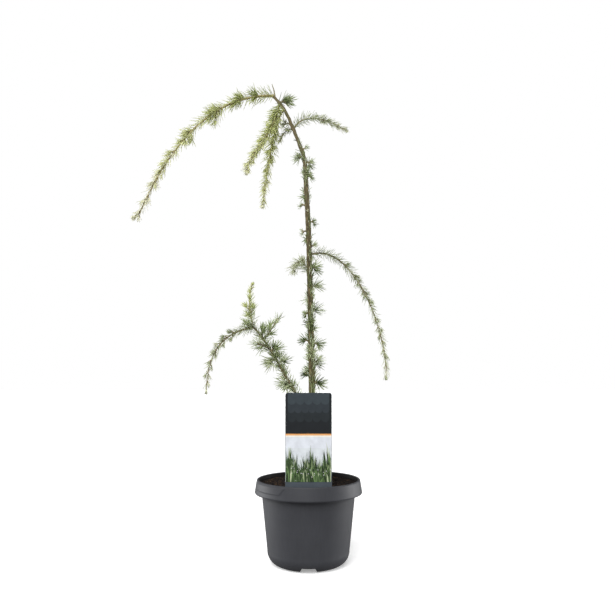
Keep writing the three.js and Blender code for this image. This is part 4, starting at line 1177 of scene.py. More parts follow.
class Plan:
    """All limbs, and the boughs and masses that they are cut into."""

    def __init__(self):
        self.limbs = {"trunk": trunk_limb()}
        self.boughs, self.masses = [], []
        for name, size in LIMBS.items():
            self.add_limb(name, size)
        for name, on, along, side, length, rosettes in BOUGH_TUFTS:
            carrier = self.limbs[on]
            _, forward, outer, cross, _ = carrier.frame(along)
            direction = unit(sideways(outer, cross, side) + TUFT_STEM.lean * forward)
            self.add_tuft(name, "bough", carrier, along, direction, length, rosettes, BOUGH_TUFT_NEEDLE)
        for side, (heading, tufts) in TRUNK_TUFTS.sides.items():
            for i, (height, share) in enumerate(tufts):
                self.add_trunk_tuft(f"trunk_tuft_{side}_{i + 1}", heading, height, share)
        trunk = self.limbs["trunk"]
        self.hard = [Spine(trunk, 0, trunk.length), *(bough.spine for bough in self.boughs)]

    def add_limb(self, name, size):
        """Adds a limb with its boughs and masses."""
        limb = arching_limb(size, self.limbs)
        self.limbs[name] = limb
        look = {key: size[key] for key in LOOK if key in size}
        for piece, kind, start, end in size["pieces"]:
            start += GAP / 2 if start > 0 else 0
            end = min(end, limb.length) - GAP / 2
            if kind == "bough":
                self.boughs.append(Stretch(piece, limb, start, end, [], **look))
                continue
            tufts = size.get("tufts")
            if not tufts:
                step, draw = size["tuft_step"], seeded(SEEDS.tufts + len(self.masses))
                tufts = spiral_tufts(start + step, end, step, size["spur"], draw)
            own = [tuft for tuft in tufts if start <= tuft[0] <= end + 3]
            self.masses.append(Stretch(piece, limb, start, end, own, **look))

    def add_tuft(self, name, place, carrier, along, direction, length, rosettes, needle):
        """Adds a tuft on a short stem, with the sprays round its foot."""
        limb = straight_stem(carrier, along, direction, length, TUFT_STEM.radii)
        # One rosette sits on its tip, and the others on spurs just below.
        fan = [(limb.length, 0, SPUR.tip)]
        fan += [(limb.length - 2, GOLDEN_ANGLE * i, TUFT_STEM.side_spur) for i in range(1, rosettes)]
        self.masses.append(Stretch(
            name, limb, 0, limb.length, fan, "old", FOOT[place]["tones"], needle,
            foot=(carrier, along, place)))

    def add_trunk_tuft(self, name, heading, height, share):
        """Adds a tuft on the trunk, turned and lengthened by draws seeded with its height."""
        draw = seeded(height)
        turn = math.radians(heading + TRUNK_TUFTS.heading_spread * (draw() - 0.5))
        lift = blend(*TRUNK_TUFTS.rise, draw())
        direction = unit([math.cos(turn), math.sin(turn), lift])
        length = blend(*TRUNK_TUFTS.stem, draw())
        rosettes = 2 if draw() < TRUNK_TUFTS.twin else 1
        high = (height - POT_HEIGHT) / (STUB.tip[2] - POT_HEIGHT)
        needle = share * blend(TRUNK_TUFTS.needle_at_soil, TRUNK_TUFTS.needle_at_tip, high)
        trunk = self.limbs["trunk"]
        self.add_tuft(
            name, "trunk", trunk, trunk.along_at_height(height), direction, length, rosettes, needle)

    def own_space(self, places, owner, extra=0):
        """Whether each place lies nearer to its owner's stem than to the stem of any other mass."""
        own = owner.spine.distances(places)
        inside = np.full(len(places), True)
        for other in self.masses:
            if other is not owner:
                inside &= other.spine.distances(places) > own + CLEARANCE.mass + extra
        return inside

    def free(self, places, owner, extra=0, mingling=0):
        """Whether each place lies in its owner's own space, or a little past it, clear of limbs and label."""
        places = np.asarray(places, float).reshape(-1, 3)
        beside = np.abs(places[:, 0]) < LABEL.half_width + CLEARANCE.label
        near = np.abs(places[:, 1] - LABEL.front) < CLEARANCE.label + extra
        clear = ~(beside & near & (places[:, 2] < LABEL.top + CLEARANCE.label))
        for spine in self.hard:
            clear &= spine.distances(places, True) >= CLEARANCE.limb + extra
        return clear & self.own_space(places, owner, extra - mingling)

    def rosettes(self, mass):
        """Where the rosettes of a mass sit: distance along the limb, facing direction, centre and spur
        length."""
        placed = []
        for along, side, spur in mass.tufts:
            point, forward, outer, cross, radius = mass.limb.frame(along)
            at_tip = along > mass.end - 2
            axis = forward if at_tip else unit(sideways(outer, cross, side) + SPUR.lean * forward)
            centre = point + axis * (spur + (0 if at_tip else radius))
            if self.free(centre, mass, HEART)[0]:
                placed.append((along, axis, centre, spur))
        return placed


# ---- Bark and twigs ----

# Sides of the rings that make a skin, and the distance from ring to ring in millimetres.
MESHES = {
    "trunk": (44, 0.9), "stub": (12, 0.8), "bough": (16, 0.9), "twig": (12, 1.0), "spur": (8, 0.45),
    "small_spur": (7, 0.6), "fibre": (4, 1.5),
}
# How proud the bark stands round the root of a bough, a twig, the dead stub and, on the trunk, a limb and a
# tuft.
COLLAR = Table(bough=0.8, twig=0.5, stub=0.5, limb=0.9, tuft=0.7)


def skin(shape, limb, start, end, mesh, relief=None, finish=0):
    """The skin of a limb between two distances along it, swollen by relief(along, angle, radius)."""
    sides, step = MESHES[mesh]
    rows = max(2, math.ceil((end - start) / step) + 1)
    along = np.linspace(start, end, rows)
    point, _, outer, cross, radius = limb.frames(along)
    angle = np.arange(sides) * TURN / sides
    outward = round_limb(outer[:, None], cross[:, None], angle)
    radius = np.repeat(radius[:, None], sides, axis=1)
    height = np.full(radius.shape, 0.5)
    if relief:
        along = np.repeat(along[:, None], sides, axis=1)
        swell, height = relief(along, np.broadcast_to(angle, radius.shape), radius)
        radius = radius + swell
    corners = point[:, None] + outward * radius[..., None]
    count = rows * sides
    ring = np.arange(sides)
    shape.add(
        np.concatenate([corners.reshape(-1, 3), point[:1], point[-1:]]),
        grid_faces(rows, sides)[:, ::-1],
        np.concatenate([fan_faces(count, ring), fan_faces(count + 1, ring + count - sides, flip=True)]),
        finish=finish, relief=np.concatenate([height.ravel(), [0.5, 0.5]]))


def wrapped(angle):
    """The size of an angle once it is taken the short way round."""
    return np.abs((angle + math.pi) % TURN - math.pi)


def leaf_cushions(along, angle, radius, pitch, reach, width):
    """Height from 0 to 1 of the ridges that run down a shoot from each leaf's foot, in spiral order: how far
    apart the leaves stand along it, and how long and how wide their ridges are."""
    first = np.rint(along / pitch)
    height = np.zeros(along.shape)
    span = math.ceil(reach / pitch) + 1
    for k in range(-2, span + 1):
        leaf = first + k
        ahead = leaf * pitch - along
        across = wrapped(angle - np.radians(GOLDEN_ANGLE) * leaf) * radius
        fall = np.where(ahead > 0, ahead / reach, -ahead / (0.25 * reach))
        height = np.maximum(height, np.clip(1 - fall, 0, 1) * np.exp(-((across / width) ** 2)))
    return height


def shoot_relief(settings, seed, collar):
    """Relief of a young shoot: ridges under its leaf feet, a swollen foot, and slight unevenness."""
    depth = settings.ridge_depth * MM

    def relief(along, angle, radius):
        # Leaves stand 1.7 mm apart on a shoot, and their ridges are 6 mm long.
        ridges = leaf_cushions(along, angle, radius, pitch=1.7, reach=6.0, width=0.34 * radius + 0.15)
        places = np.stack([radius * np.cos(angle), radius * np.sin(angle), along], -1)
        uneven = rough_noise(places, 5, seed, 2)
        foot = collar * np.exp(-np.maximum(along - collar, 0) / 3.5)
        swell = depth * (0.25 + 0.2 * radius) * (ridges - 0.4) + 0.08 * radius * uneven + foot
        return swell, np.clip(0.25 + 0.5 * ridges + 0.2 * uneven, 0, 1)
    return relief


def trunk_relief(settings, trunk, knots):
    """Relief of the trunk: long plates and fissures, old leaf ridges higher up, knots and a fluted foot."""
    depth = settings.fissure_depth * MM

    def relief(along, angle, radius):
        share = along / trunk.length
        # Plates are 1.7 mm wide and seven times as long, with sharp fissures between them.
        places = np.stack([radius * np.cos(angle), radius * np.sin(angle), along / 7], -1)
        plates = 1 - 2.2 * np.abs(rough_noise(places, 1.7, 5, 2))
        # Cork grains are 0.8 mm wide and 2 mm long.
        fine = rough_noise(np.stack([places[..., 0], places[..., 1], along / 2.5], -1), 0.8, 6, 2)
        # Leaf ridges have stretched to 11 mm as the stem grew.
        ridges = leaf_cushions(along, angle, radius, pitch=3.1, reach=11.0, width=0.3 * radius + 0.2)
        # The whole stem bulges and thins over some 20 mm.
        broad = rough_noise(places * (0.2, 0.2, 0.5), 1.5, 7, 2)
        bark = blend(plates, 1.6 * ridges - 0.6, np.clip(0.25 + share, 0, 0.85))
        swell = depth * (0.55 * bark + 0.3 * fine) + 0.05 * radius * broad
        # A knot swells where each limb and tuft leaves it.
        for knot_along, knot_angle, size in knots:
            away = np.hypot(wrapped(angle - knot_angle) * radius, along - knot_along)
            swell = swell + size * np.exp(-((away / (2.2 + 1.4 * size)) ** 2))
        # The foot flares over 9 mm above the soil, in five flutes.
        flare = np.exp(-np.maximum(along - 7, 0) / 9)
        swell = swell + 0.9 * flare * (0.4 + np.sin(5 * angle + 0.7) * 0.6)
        return swell, np.clip(0.45 + 0.3 * bark + 0.2 * fine, 0, 1)
    return relief


class BarkSettings(bpy.types.PropertyGroup):
    """Relief and colours of the bark."""

    fissure_depth: FloatProperty(
        name="Fissures", description="Depth of the trunk's fissures", default=0.0009, unit="LENGTH")
    ridge_depth: FloatProperty(
        name="Ridges", description="Height of the shoots' leaf ridges", default=0.0007, unit="LENGTH")
    old_colour: colour_property("Old bark", "Colour of the trunk", "#5d5539")
    young_colour: colour_property("Young bark", "Colour of the boughs and twigs", "#857a5e")
    shoot_colour: colour_property("Shoot bark", "Colour of this year's shoots", "#a09366")


def bark_materials(settings):
    """The bark of the trunk, of the boughs and of this year's shoots, each made once."""
    looks = [
        ("weathered_cedar_bark", "#2a2618", settings.old_colour, "#948662", "#4c5a2e", "#7c7056", 0.9),
        ("young_cedar_bark", "#62573f", settings.young_colour, "#a69a7c", "#7c7f56", "#9b9474", 0.7),
        ("pale_cedar_shoot", "#7c7049", settings.shoot_colour, "#c2b384", "#a2a968", "#b2a878", 0.5),
    ]
    return [bpy.data.materials.get(look[0]) or cedar_bark(*look) for look in looks]


def angle_round(limb, along, direction):
    """The angle round a limb, from its outer side, at which a direction leaves it."""
    _, _, outer, cross, _ = limb.frame(along)
    return math.atan2(np.dot(direction, cross), np.dot(direction, outer))


class CEDAR_OT_trunk(bpy.types.Operator):
    """Grow the trunk with its bark relief, its fluted foot and the dead stub of its old leader"""

    bl_idname = "cedar.trunk"
    bl_label = "Trunk"

    def execute(self, context):
        settings = context.scene.cedar_bark
        plan = Plan()
        trunk = plan.limbs["trunk"]
        roots = []
        for size in LIMBS.values():
            carrier, height = size["root"]
            turn = math.radians(size["heading"])
            if carrier == "trunk":
                roots.append((height, (math.cos(turn), math.sin(turn), 0), COLLAR.limb))
        for mass in plan.masses:
            if mass.foot and mass.foot[0] is trunk:
                roots.append((mass.limb.line[0][2], mass.limb.run(), COLLAR.tuft))
        knots = []
        for height, direction, proud in roots:
            along = trunk.along_at_height(height)
            knots.append((along, angle_round(trunk, along, direction), proud))
        shape = Shape()
        skin(shape, trunk, 0, trunk.length, "trunk", trunk_relief(settings, trunk, knots))
        middle = np.add(STUB.base, STUB.tip) / 2 + STUB.bend
        line = divided([STUB.base, tuple(middle), STUB.tip], 3)
        stub = Limb(line, (0, 1, 0), lambda share: blend(*STUB.radii, share))
        relief = shoot_relief(settings, 3, COLLAR.stub)
        skin(shape, stub, 0, stub.length - GAP, "stub", relief, finish=1)
        place_piece(shape.build("trunk_bark", bark_materials(settings)[:2]), ["trunk"])
        return {"FINISHED"}


class CEDAR_OT_boughs(bpy.types.Operator):
    """Grow the bare boughs, with the ridges of their old leaf feet"""

    bl_idname = "cedar.boughs"
    bl_label = "Boughs"

    def execute(self, context):
        settings = context.scene.cedar_bark
        plan = Plan()
        shape = Shape()
        for number, bough in enumerate(plan.boughs):
            relief = shoot_relief(settings, number, COLLAR.bough * bough.at_root())
            finish = int(bough.limb is plan.limbs["leader"])
            skin(shape, bough.limb, bough.start, bough.end + GAP, "bough", relief, finish)
        piece = shape.build("bough_bark", bark_materials(settings)[1:])
        place_piece(piece, [bough.name for bough in plan.boughs])
        return {"FINISHED"}


# ---- Foliage ----

# Needles of each kind: how many in a full spray, their thickness in millimetres, how wide a spray opens
# in degrees from its axis, and the tones that sprays are dealt, from the oldest to the youngest.
KINDS = {
    "fresh": dict(
        count=24, thickness=1.1, opening=74, tones=["#858f5b", "#adb776", "#ccd290", "#e1e4ae", "#ecebce"]),
    "grey": dict(
        count=22, thickness=1.05, opening=68, tones=["#78815f", "#99a27b", "#b8be9b", "#cfd1b4"]),
    "old": dict(
        count=16, thickness=1.25, opening=74, tones=["#4c5a34", "#6e7d4d", "#93a26e", "#b4bd93", "#c8d0b6"]),
}

# How small sprays differ from full ones: their share of the needles, of the needles' length, and the
# length of their spurs. Those at a tuft's foot lean less along their carrier.
SMALL = Table(count=0.5, length=(0.85, 1.12), spur=(0.8, 2.2), foot_lean=0.5)
# How far the tone that is dealt strays from its age, in tones.
TONE_PLAY = 0.42

# Share of its needles that a limb still has at its tip, and how far needles of neighbours mingle.
THINNING = 0.5
MINGLING = 7
# How much closer to a limb the middle of a needle may pass than its tip.
MIDDLE_EASE = 0.6
# Needle length from which sprays have all their kind's needles, at full thickness; shorter needles are
# fewer and thinner, from SPARSE and the first of SLENDER up.
FULL_NEEDLE = 13
SPARSE = 0.2
SLENDER = (0.55, 1.0)
# The last sprays, near the tip of a long limb: their shares of the usual needles, length and spread.
TIP = Table(longer_than=60, near=7, count=4.2, length=1.05, opening=0.6)
# Shares of the usual sweep that needles have at a limb's root and at its tip.
LIE = (0.7, 1.9)
# Distance from one single needle to the next on a bare bough.
BARE_STEP = 0.5

# A spray's needles: how far the innermost lean from its axis, in degrees, and how soon the others lean
# more; how far from its centre they start; how much lean, turn, width, length and seat vary; the share of
# the length that those inside and at the edge have, and the most that any has; and what makes them curl.
SPRAY = Table(
    lean=6, opening_rate=0.7, heart=0.5, lean_play=0.07, turn_play=0.2, width_play=0.07,
    length_play=(0.65, 1.1), seat_play=(0.6, 1), edge_length=0.86, longest=1.03,
    curl_forward=0.06, curl_axis=0.05, curl_play=0.05,
)
# Needles straight on a limb: where they start, as a share of its radius, their thickness as a share of a
# spray's, how it varies, and what makes them curl.
SINGLE = Table(seat=0.9, width=0.92, width_play=0.07, curl_outward=-0.08, curl_play=0.06)
# How the single needles along a limb vary, and how many in a row share a tone.
BRUSH = Table(turn_play=0.3, length_play=(0.5, 1.04), sweep_play=0.25, tone_run=3)
# A needle's rings: their places along it and their widths, as shares, and their corners.
NEEDLE = Table(places=(0.0, 0.25, 0.8), widths=(0.6, 1.0, 0.75), sides=3)
# A bud's half sizes, how its size varies, and how much narrower it gets towards its point.
BUD = Table(half=(0.95, 0.95, 1.5), size=(0.75, 1.0), taper=0.25)
# The rings of old bud scales on a spur: how far apart, how proud and how deep they are.
SPUR_RING = Table(step=0.9, proud=0.16, sunk=0.05)
# Materials of the twigs: bark, bud and this year's shoots.
BUD_FINISH = 1
SHOOT_FINISH = 2


class FoliageSettings(bpy.types.PropertyGroup):
    """Sizes of the foliage."""

    fullness: FloatProperty(
        name="Fullness", description="Share of the usual number of needles", default=1.0, min=0.1, max=2.0)
    thickness: FloatProperty(
        name="Thickness", description="Needle thickness, as a share of life size", default=1.0, min=0.2,
        max=3.0)


def across_axis(axis):
    """Two directions square to an axis and to each other."""
    # Any fixed direction serves that no axis lies along.
    side = unit(np.cross(axis, (0.31, 0.53, 0.79)))
    return side, np.cross(axis, side)


def add_needles(shape, feet, directions, lengths, curl, thickness, finishes, random):
    """Three-sided needles that swell from their foot, curl a little and end in a point."""
    share, width, sides = np.array(NEEDLE.places), np.array(NEEDLE.widths), NEEDLE.sides
    side = unit(np.cross(directions, unit(random.normal(size=directions.shape))))
    ring = round_limb(
        side[:, None], np.cross(directions, side)[:, None], np.arange(sides) * TURN / sides)
    reach = share[None, :, None] * lengths[:, None, None]
    line = feet[:, None] + directions[:, None] * reach + curl[:, None] * share[None, :, None] ** 2
    radius = (width[None] * thickness[:, None] / 2)[..., None, None]
    corners = (line[:, :, None] + ring[:, None] * radius).reshape(len(feet), -1, 3)
    tips = feet + directions * lengths[:, None] + curl
    last = corners.shape[1]
    start = np.arange(len(feet))[:, None, None] * (last + 1)
    ends = np.concatenate([fan_faces(last, np.arange(last - sides, last)), [(2, 1, 0)]])
    kinds = [grid_faces(len(share), sides), ends]
    shape.add(
        np.concatenate([corners, tips[:, None]], axis=1),
        *((faces + start).reshape(-1, faces.shape[1]) for faces in kinds),
        finish=[np.repeat(finishes, len(faces)) for faces in kinds])


def spur_relief(along, angle, radius):
    """Rings that each year's bud scales leave round a spur."""
    rings = np.abs(np.sin(math.pi * along / SPUR_RING.step))
    return SPUR_RING.proud * rings - SPUR_RING.sunk, 0.25 + 0.5 * rings


def add_bud(shape, centre, axis, random):
    """A small ovoid bud, with its point along the axis."""
    ball, quads, triangles = lumpy_ball()
    grown = ball * BUD.half * random.uniform(*BUD.size)
    grown[:, :2] *= 1 - BUD.taper * ball[:, 2:]
    side, other = across_axis(axis)
    corners = centre + grown[:, :1] * side + grown[:, 1:2] * other + grown[:, 2:] * axis
    shape.add(corners, quads, triangles, finish=BUD_FINISH)


class Foliage:
    """The needles of one mass or bough: they are gathered first, and grown where they have room."""

    def __init__(self, plan, owner, settings, seed):
        self.plan, self.owner, self.settings = plan, owner, settings
        self.kind = KINDS[owner.kind]
        self.random = np.random.default_rng(seed)
        self.parts = []

    def along_limb(self, ends, along):
        """A value between those at the limb's root and tip; foliage without a brush keeps the plain one."""
        return blend(*ends, self.owner.share(along)) if self.owner.brush else 1

    def count_at(self, along):
        """How many needles a full spray has at a distance along the limb."""
        thinned = self.along_limb((1, THINNING), along)
        size = min(1, SPARSE + self.owner.needle / FULL_NEEDLE)
        return self.kind["count"] * self.settings.fullness * thinned * size

    def tone_at(self, along):
        """Number of the tone dealt there: tones follow the age along a limb, and are mixed in a tuft."""
        owner, random = self.owner, self.random
        age = blend(*owner.tones, owner.share(along)) if owner.brush else random.uniform(*owner.tones)
        return int(np.clip(round(age + random.normal(0, TONE_PLAY)), 0, len(self.kind["tones"]) - 1))

    def width_of(self, length):
        """Thickness of a needle of a length: short needles are thinner."""
        share = blend(*SLENDER, np.clip(length / FULL_NEEDLE, 0, 1))
        return self.settings.thickness * (self.kind["thickness"] * share)

    def add_spray(self, along, centre, axis, forward, share, count, seat=(0, 0, 0), opening=1.0):
        """Adds a spray of needles in spiral order from its axis outward, turned towards its limb's way.

        `share` is their length as a share of the usual one there, `seat` how far from the centre the outer
        ones start, which are as much longer, and `opening` how wide it opens, as a share of the usual.
        """
        owner, random = self.owner, self.random
        tone = self.tone_at(along)
        sweep = owner.sweep[0] * self.along_limb(LIE, along)
        length = owner.needle * blend(*owner.taper, owner.share(along)) * share
        order = (np.arange(count) + 0.5) / count
        opened = order ** SPRAY.opening_rate
        lean = np.radians(blend(SPRAY.lean, opening * self.kind["opening"], opened))
        lean = lean * random.normal(1, SPRAY.lean_play, count)
        turn = np.radians(GOLDEN_ANGLE) * np.arange(count) + random.normal(0, SPRAY.turn_play, count)
        turn = turn + TURN * random.random()
        side, other = across_axis(axis)
        directions = unit(
            np.cos(lean)[:, None] * axis + (np.sin(lean) * np.cos(turn))[:, None] * side
            + (np.sin(lean) * np.sin(turn))[:, None] * other + sweep * forward)
        lengths = length * blend(SPRAY.edge_length, 1.0, np.sin(np.pi * order))
        lengths = np.minimum(lengths * random.uniform(*SPRAY.length_play, count), SPRAY.longest * length)
        sunk = order ** 0.5 * random.uniform(*SPRAY.seat_play, count)
        lengths = lengths + np.linalg.norm(seat) * sunk
        bend_to = forward * SPRAY.curl_forward + axis * SPRAY.curl_axis
        bend_to = bend_to + SPRAY.curl_play * random.normal(size=(count, 3))
        widths = self.width_of(length) * random.normal(1, SPRAY.width_play, count)
        feet = centre + directions * SPRAY.heart + np.asarray(seat) * sunk[:, None]
        self.parts.append(
            (feet, directions, lengths, bend_to * lengths[:, None], widths, np.full(count, tone)))

    def add_singles(self, limb, along, turn, sweeps, lengths, tones):
        """Adds single needles straight on a limb, at distances along it and angles round it."""
        count = len(along)
        point, forward, outer, cross, radius = limb.frames(along)
        outward = round_limb(outer, cross, turn)
        directions = unit(outward + forward * sweeps[:, None])
        feet = point + outward * (radius * SINGLE.seat)[:, None]
        bend_to = outward * SINGLE.curl_outward
        bend_to = bend_to + SINGLE.curl_play * self.random.normal(size=(count, 3))
        widths = self.width_of(lengths) * self.random.normal(SINGLE.width, SINGLE.width_play, count)
        self.parts.append((feet, directions, lengths, bend_to * lengths[:, None], widths, tones))

    def add_brush(self, step):
        """Adds single needles along the whole stretch, in spiral order and a step apart."""
        owner, random = self.owner, self.random
        along = np.arange(owner.start + 1, owner.end, step / self.settings.fullness)
        count = len(along)
        share = owner.share(along)
        turn = np.radians(GOLDEN_ANGLE) * np.arange(count) + random.normal(0, BRUSH.turn_play, count)
        lengths = owner.brush[1] * blend(*owner.taper, share) * random.uniform(*BRUSH.length_play, count)
        thinned = blend(1, THINNING, share) * blend(owner.inner, 1, (1 + np.cos(turn)) / 2)
        kept = random.random(count) < thinned
        sweeps = owner.sweep[1] * blend(*LIE, share) * random.normal(1, BRUSH.sweep_play, count)
        # One tone for each short run of needles along the twig.
        run = BRUSH.tone_run
        tones = np.repeat([self.tone_at(place) for place in along[::run]], run)[:count]
        self.add_singles(owner.limb, along[kept], turn[kept], sweeps[kept], lengths[kept], tones[kept])

    def add_foot_needles(self):
        """Adds single needles round a tuft's foot, lying along its carrier."""
        owner, random = self.owner, self.random
        carrier, along, place = owner.foot
        foot = FOOT[place]
        count = round(2 * foot["spread"] * foot["density"])
        places = np.clip(along + foot["spread"] * random.uniform(-1, 1, count), 0, carrier.length)
        middle = angle_round(carrier, along, owner.limb.run())
        turn = middle + np.radians(FOOT_PLAY.turn * random.uniform(-1, 1, count))
        lengths = owner.needle * foot["length"] * random.uniform(*FOOT_PLAY.length, count)
        sweeps = random.uniform(*foot["sweep"], count)
        tones = np.array([self.tone_at(0) for _ in range(count)])
        self.add_singles(carrier, places, turn, sweeps, lengths, tones)

    def small_spots(self, placed):
        """Where its small sprays sit, on short spurs round each tuft and round its stem's foot."""
        owner, random = self.owner, self.random
        places = []
        count, spread = owner.sprays
        for along, *_ in placed:
            for _ in range(count):
                place = np.clip(along + spread * random.uniform(-1, 1), owner.start + 1.5, owner.end - 1)
                places.append((owner.limb, float(place), SPUR.lean))
        if owner.foot:
            carrier, along, on = owner.foot
            for _ in range(FOOT[on]["sprays"]):
                place = along + FOOT[on]["spread"] * random.uniform(-1, 1)
                places.append((carrier, place, SMALL.foot_lean))
        spots = []
        for limb, along, lean in places:
            point, forward, outer, cross, radius = limb.frame(along)
            turn = 360 * random.random()
            axis = unit(sideways(outer, cross, turn) + lean * forward)
            spur = random.uniform(*SMALL.spur)
            centre = point + axis * (radius + spur)
            kept = random.random() < blend(owner.inner, 1, (1 + math.cos(math.radians(turn))) / 2)
            if kept and self.plan.own_space(centre[None], owner)[0]:
                spots.append((limb, along, axis, centre, spur, forward))
        return spots

    def add_sprays(self, twigs):
        """Adds the sprays of a mass, full and small, and grows their spurs and buds into the twigs."""
        owner, limb, random = self.owner, self.owner.limb, self.random
        seat = np.zeros(3)
        if owner.foot:
            carrier, along, _ = owner.foot
            buried = TUFT_SEAT * (limb.length - carrier.frame(along)[-1])
            seat = -buried * limb.frame(0)[1]
        placed = self.plan.rosettes(owner)
        for along, axis, centre, spur in placed:
            if spur > SPUR.tip:
                stem = straight_stem(limb, along, axis, spur, SPUR.radii)
                skin(twigs, stem, 0, stem.length, "spur", spur_relief)
            add_bud(twigs, centre, axis, random)
            at_tip = owner.brush and along > max(TIP.longer_than, limb.length - TIP.near)
            count = TIP.count * self.kind["count"] if at_tip else self.count_at(along)
            self.add_spray(
                along, centre, axis, limb.frame(along)[1], TIP.length if at_tip else 1, int(count), seat,
                TIP.opening if at_tip else 1.0)
        for carrier, along, axis, centre, spur, forward in self.small_spots(placed):
            stem = straight_stem(carrier, along, axis, spur, SPUR.radii)
            skin(twigs, stem, 0, stem.length, "small_spur", spur_relief)
            add_bud(twigs, centre, axis, random)
            count = int(SMALL.count * self.count_at(along))
            self.add_spray(along, centre, axis, forward, random.uniform(*SMALL.length), count)

    def grow(self, shape):
        """Grows the needles that stay in the owner's own space and clear of its stem."""
        feet, directions, lengths, curl, *look = (np.concatenate(part) for part in zip(*self.parts))
        tips = feet + directions * lengths[:, None] + curl
        clear = self.plan.free(tips, self.owner, 0, MINGLING)
        clear &= self.plan.free((feet + tips) / 2, self.owner, -MIDDLE_EASE, MINGLING)
        clear &= self.owner.spine.distances(tips, True) > CLEARANCE.own_stem
        if clear.any():
            kept = (values[clear] for values in (feet, directions, lengths, curl, *look))
            add_needles(shape, *kept, self.random)


class CEDAR_OT_foliage(bpy.types.Operator):
    """Grow twigs, ringed spurs, buds and needles on every limb"""

    bl_idname = "cedar.foliage"
    bl_label = "Foliage"

    def execute(self, context):
        settings, bark_settings = context.scene.cedar_foliage, context.scene.cedar_bark
        plan = Plan()
        twigs = Shape()
        needles = {kind: Shape() for kind in KINDS}
        for number, mass in enumerate(plan.masses):
            foliage = Foliage(plan, mass, settings, SEEDS.masses + number)
            relief = shoot_relief(bark_settings, number, COLLAR.twig * mass.at_root())
            finish = SHOOT_FINISH if mass.kind == "fresh" else 0
            skin(twigs, mass.limb, max(0, mass.start - GAP), mass.end, "twig", relief, finish)
            foliage.add_sprays(twigs)
            if mass.brush:
                foliage.add_brush(mass.brush[0])
            if mass.foot:
                foliage.add_foot_needles()
            foliage.grow(needles[mass.kind])
        for number, bough in enumerate(plan.boughs):
            foliage = Foliage(plan, bough, settings, SEEDS.boughs + number)
            foliage.add_brush(BARE_STEP)
            foliage.grow(needles[bough.kind])
        bud = crumbly("papery_bud_scale", "#6b4c30", "#a07c54")
        _, young, shoot = bark_materials(bark_settings)
        piece = twigs.build("twigs", [young, bud, shoot])
        place_piece(piece, [mass.name for mass in plan.masses])
        for kind, shape in needles.items():
            tones = enumerate(KINDS[kind]["tones"], 1)
            piece = shape.build(
                f"{kind}_needles", [cedar_needle(f"{kind}_needle_{i}", tone) for i, tone in tones])
            names = [mass.name for mass in plan.masses if mass.kind == kind]
            place_piece(piece, names)
        return {"FINISHED"}


# ---- Stage ----

# Softboxes: place and size in metres, and power in watts. All face the plant.
SOFTBOXES = [
    ("left_softbox", (-1.1, 0.35, 0.05), 0.5, 15.0),
    ("right_softbox", (1.1, 0.25, 0.05), 0.5, 17.0),
]
SOFTBOX_AIM = (0, 0, 0.05)

# Distant banks of light: height above level and heading that the light comes from, in degrees, how wide
# each bank looks, in degrees, and its strength.
BANKS = [
    ("key_bank", 39, 255, 40, 3.2),
    ("ceiling_bank", 80, 90, 80, 0.4),
]

# Half the side of the paper in millimetres, the width of the camera's sensor in millimetres, and how far the
# camera stands to the right of the trunk, in metres.
FLOOR_HALF = 8000
SENSOR = 36
CAMERA_RIGHT = -0.0017


class StageSettings(bpy.types.PropertyGroup):
    """Paper, light and camera."""

    paper: colour_property("Paper", "Colour of the floor", "#fafafa")
    ambient: FloatProperty(name="Ambient", description="Strength of the light from all round", default=0.22)
    bounce: FloatProperty(
        name="Bounce", description="Share of its light that the floor returns to the plant", default=0.4)
    glow: FloatProperty(name="Glow", description="Light that shines up through the floor", default=0.35)
    lens: FloatProperty(name="Lens", description="Focal length in millimetres", default=40.71)
    camera_height: FloatProperty(
        name="Camera height", description="Height of the camera above the floor", default=0.3491,
        unit="LENGTH")
    camera_distance: FloatProperty(
        name="Camera distance", description="Distance of the camera from the trunk", default=1.25,
        unit="LENGTH")
    camera_pitch: FloatProperty(
        name="Camera pitch", description="How far the camera looks up", default=math.radians(4.603),
        subtype="ANGLE")


def add_lamp(name, kind, power, aim):
    """Adds a lamp of a kind and power that shines along its aim."""
    lamp = bpy.data.objects.new(name, bpy.data.lights.new(name, kind))
    lamp.data.energy = power
    lamp.rotation_euler = Vector(aim).to_track_quat("-Z", "Y").to_euler()
    bpy.context.scene.collection.objects.link(lamp)
    return lamp


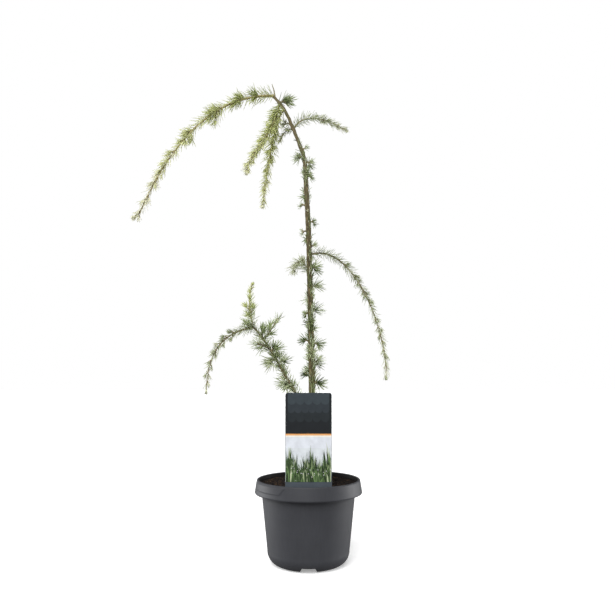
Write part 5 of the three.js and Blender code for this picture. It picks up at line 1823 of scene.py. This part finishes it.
class CEDAR_OT_stage(bpy.types.Operator):
    """Lay the pale floor and set the soft studio lights and the camera"""

    bl_idname = "cedar.stage"
    bl_label = "Stage"

    def execute(self, context):
        settings = context.scene.cedar_stage
        floor = Shape()
        square = np.array([(-1, -1, 0), (1, -1, 0), (1, 1, 0), (-1, 1, 0)])
        floor.add(FLOOR_HALF * square, [(0, 1, 2, 3)])
        floor.build("floor", [floor_paper(settings)], smooth=False)

        # The room is a white tent: seen by the camera at full white, and dimmer as a light, so that the
        # plant keeps its shape.
        context.scene.world = bpy.data.worlds.new("studio")
        node = empty_tree(context.scene.world)
        seen = node("ShaderNodeLightPath").outputs["Is Camera Ray"]
        strength = node("ShaderNodeMapRange", {"To Min": settings.ambient}, {"Value": seen})
        tent = node("ShaderNodeBackground", {"Color": rgba("#ffffff")}, {"Strength": strength})
        node("ShaderNodeOutputWorld", {}, {"Surface": tent})

        for name, place, size, power in SOFTBOXES:
            lamp = add_lamp(name, "AREA", power, Vector(SOFTBOX_AIM) - Vector(place))
            lamp.location = place
            lamp.data.size = size
        for name, lift, heading, width, strength in BANKS:
            turn = math.radians(heading)
            level = np.array([math.cos(turn), math.sin(turn), 0])
            lamp = add_lamp(name, "SUN", strength, -sideways(level, UP, lift))
            lamp.data.angle = math.radians(width)

        camera = bpy.data.objects.new("camera", bpy.data.cameras.new("camera"))
        camera.data.sensor_width = SENSOR
        camera.data.lens = settings.lens
        camera.location = (CAMERA_RIGHT, -settings.camera_distance, settings.camera_height)
        camera.rotation_euler = (math.pi / 2 + settings.camera_pitch, 0, 0)
        context.scene.collection.objects.link(camera)
        context.scene.camera = camera
        context.scene.view_settings.view_transform = "Standard"
        return {"FINISHED"}


# ---- Add-on ----

OPERATORS = [
    CEDAR_OT_pot,
    CEDAR_OT_substrate,
    CEDAR_OT_plant_label,
    CEDAR_OT_trunk,
    CEDAR_OT_boughs,
    CEDAR_OT_foliage,
    CEDAR_OT_stage,
]
SETTINGS = {
    "cedar_pot": PotSettings,
    "cedar_substrate": SubstrateSettings,
    "cedar_label": LabelSettings,
    "cedar_bark": BarkSettings,
    "cedar_foliage": FoliageSettings,
    "cedar_stage": StageSettings,
}


class CEDAR_PT_sidebar(bpy.types.Panel):
    """Lists each piece's button and settings"""

    bl_idname = "CEDAR_PT_sidebar"
    bl_label = "Weeping cedar"
    bl_space_type = "VIEW_3D"
    bl_region_type = "UI"
    bl_category = "Cedar"

    def draw(self, context):
        for operator in OPERATORS:
            self.layout.operator(operator.bl_idname)
        for name, group in SETTINGS.items():
            box = self.layout.box()
            box.label(text=group.__doc__)
            for field in group.__annotations__:
                box.prop(getattr(context.scene, name), field)


CLASSES = [*SETTINGS.values(), *OPERATORS, CEDAR_PT_sidebar]


def register():
    for cls in CLASSES:
        bpy.utils.register_class(cls)
    for name, group in SETTINGS.items():
        setattr(bpy.types.Scene, name, PointerProperty(type=group))


def unregister():
    for name in SETTINGS:
        delattr(bpy.types.Scene, name)
    for cls in reversed(CLASSES):
        bpy.utils.unregister_class(cls)


def main():
    """Builds every piece and the stage."""
    register()
    bpy.ops.cedar.pot()
    bpy.ops.cedar.substrate()
    bpy.ops.cedar.plant_label()
    bpy.ops.cedar.trunk()
    bpy.ops.cedar.boughs()
    bpy.ops.cedar.foliage()
    bpy.ops.cedar.stage()


if __name__ == "__main__":
    main()
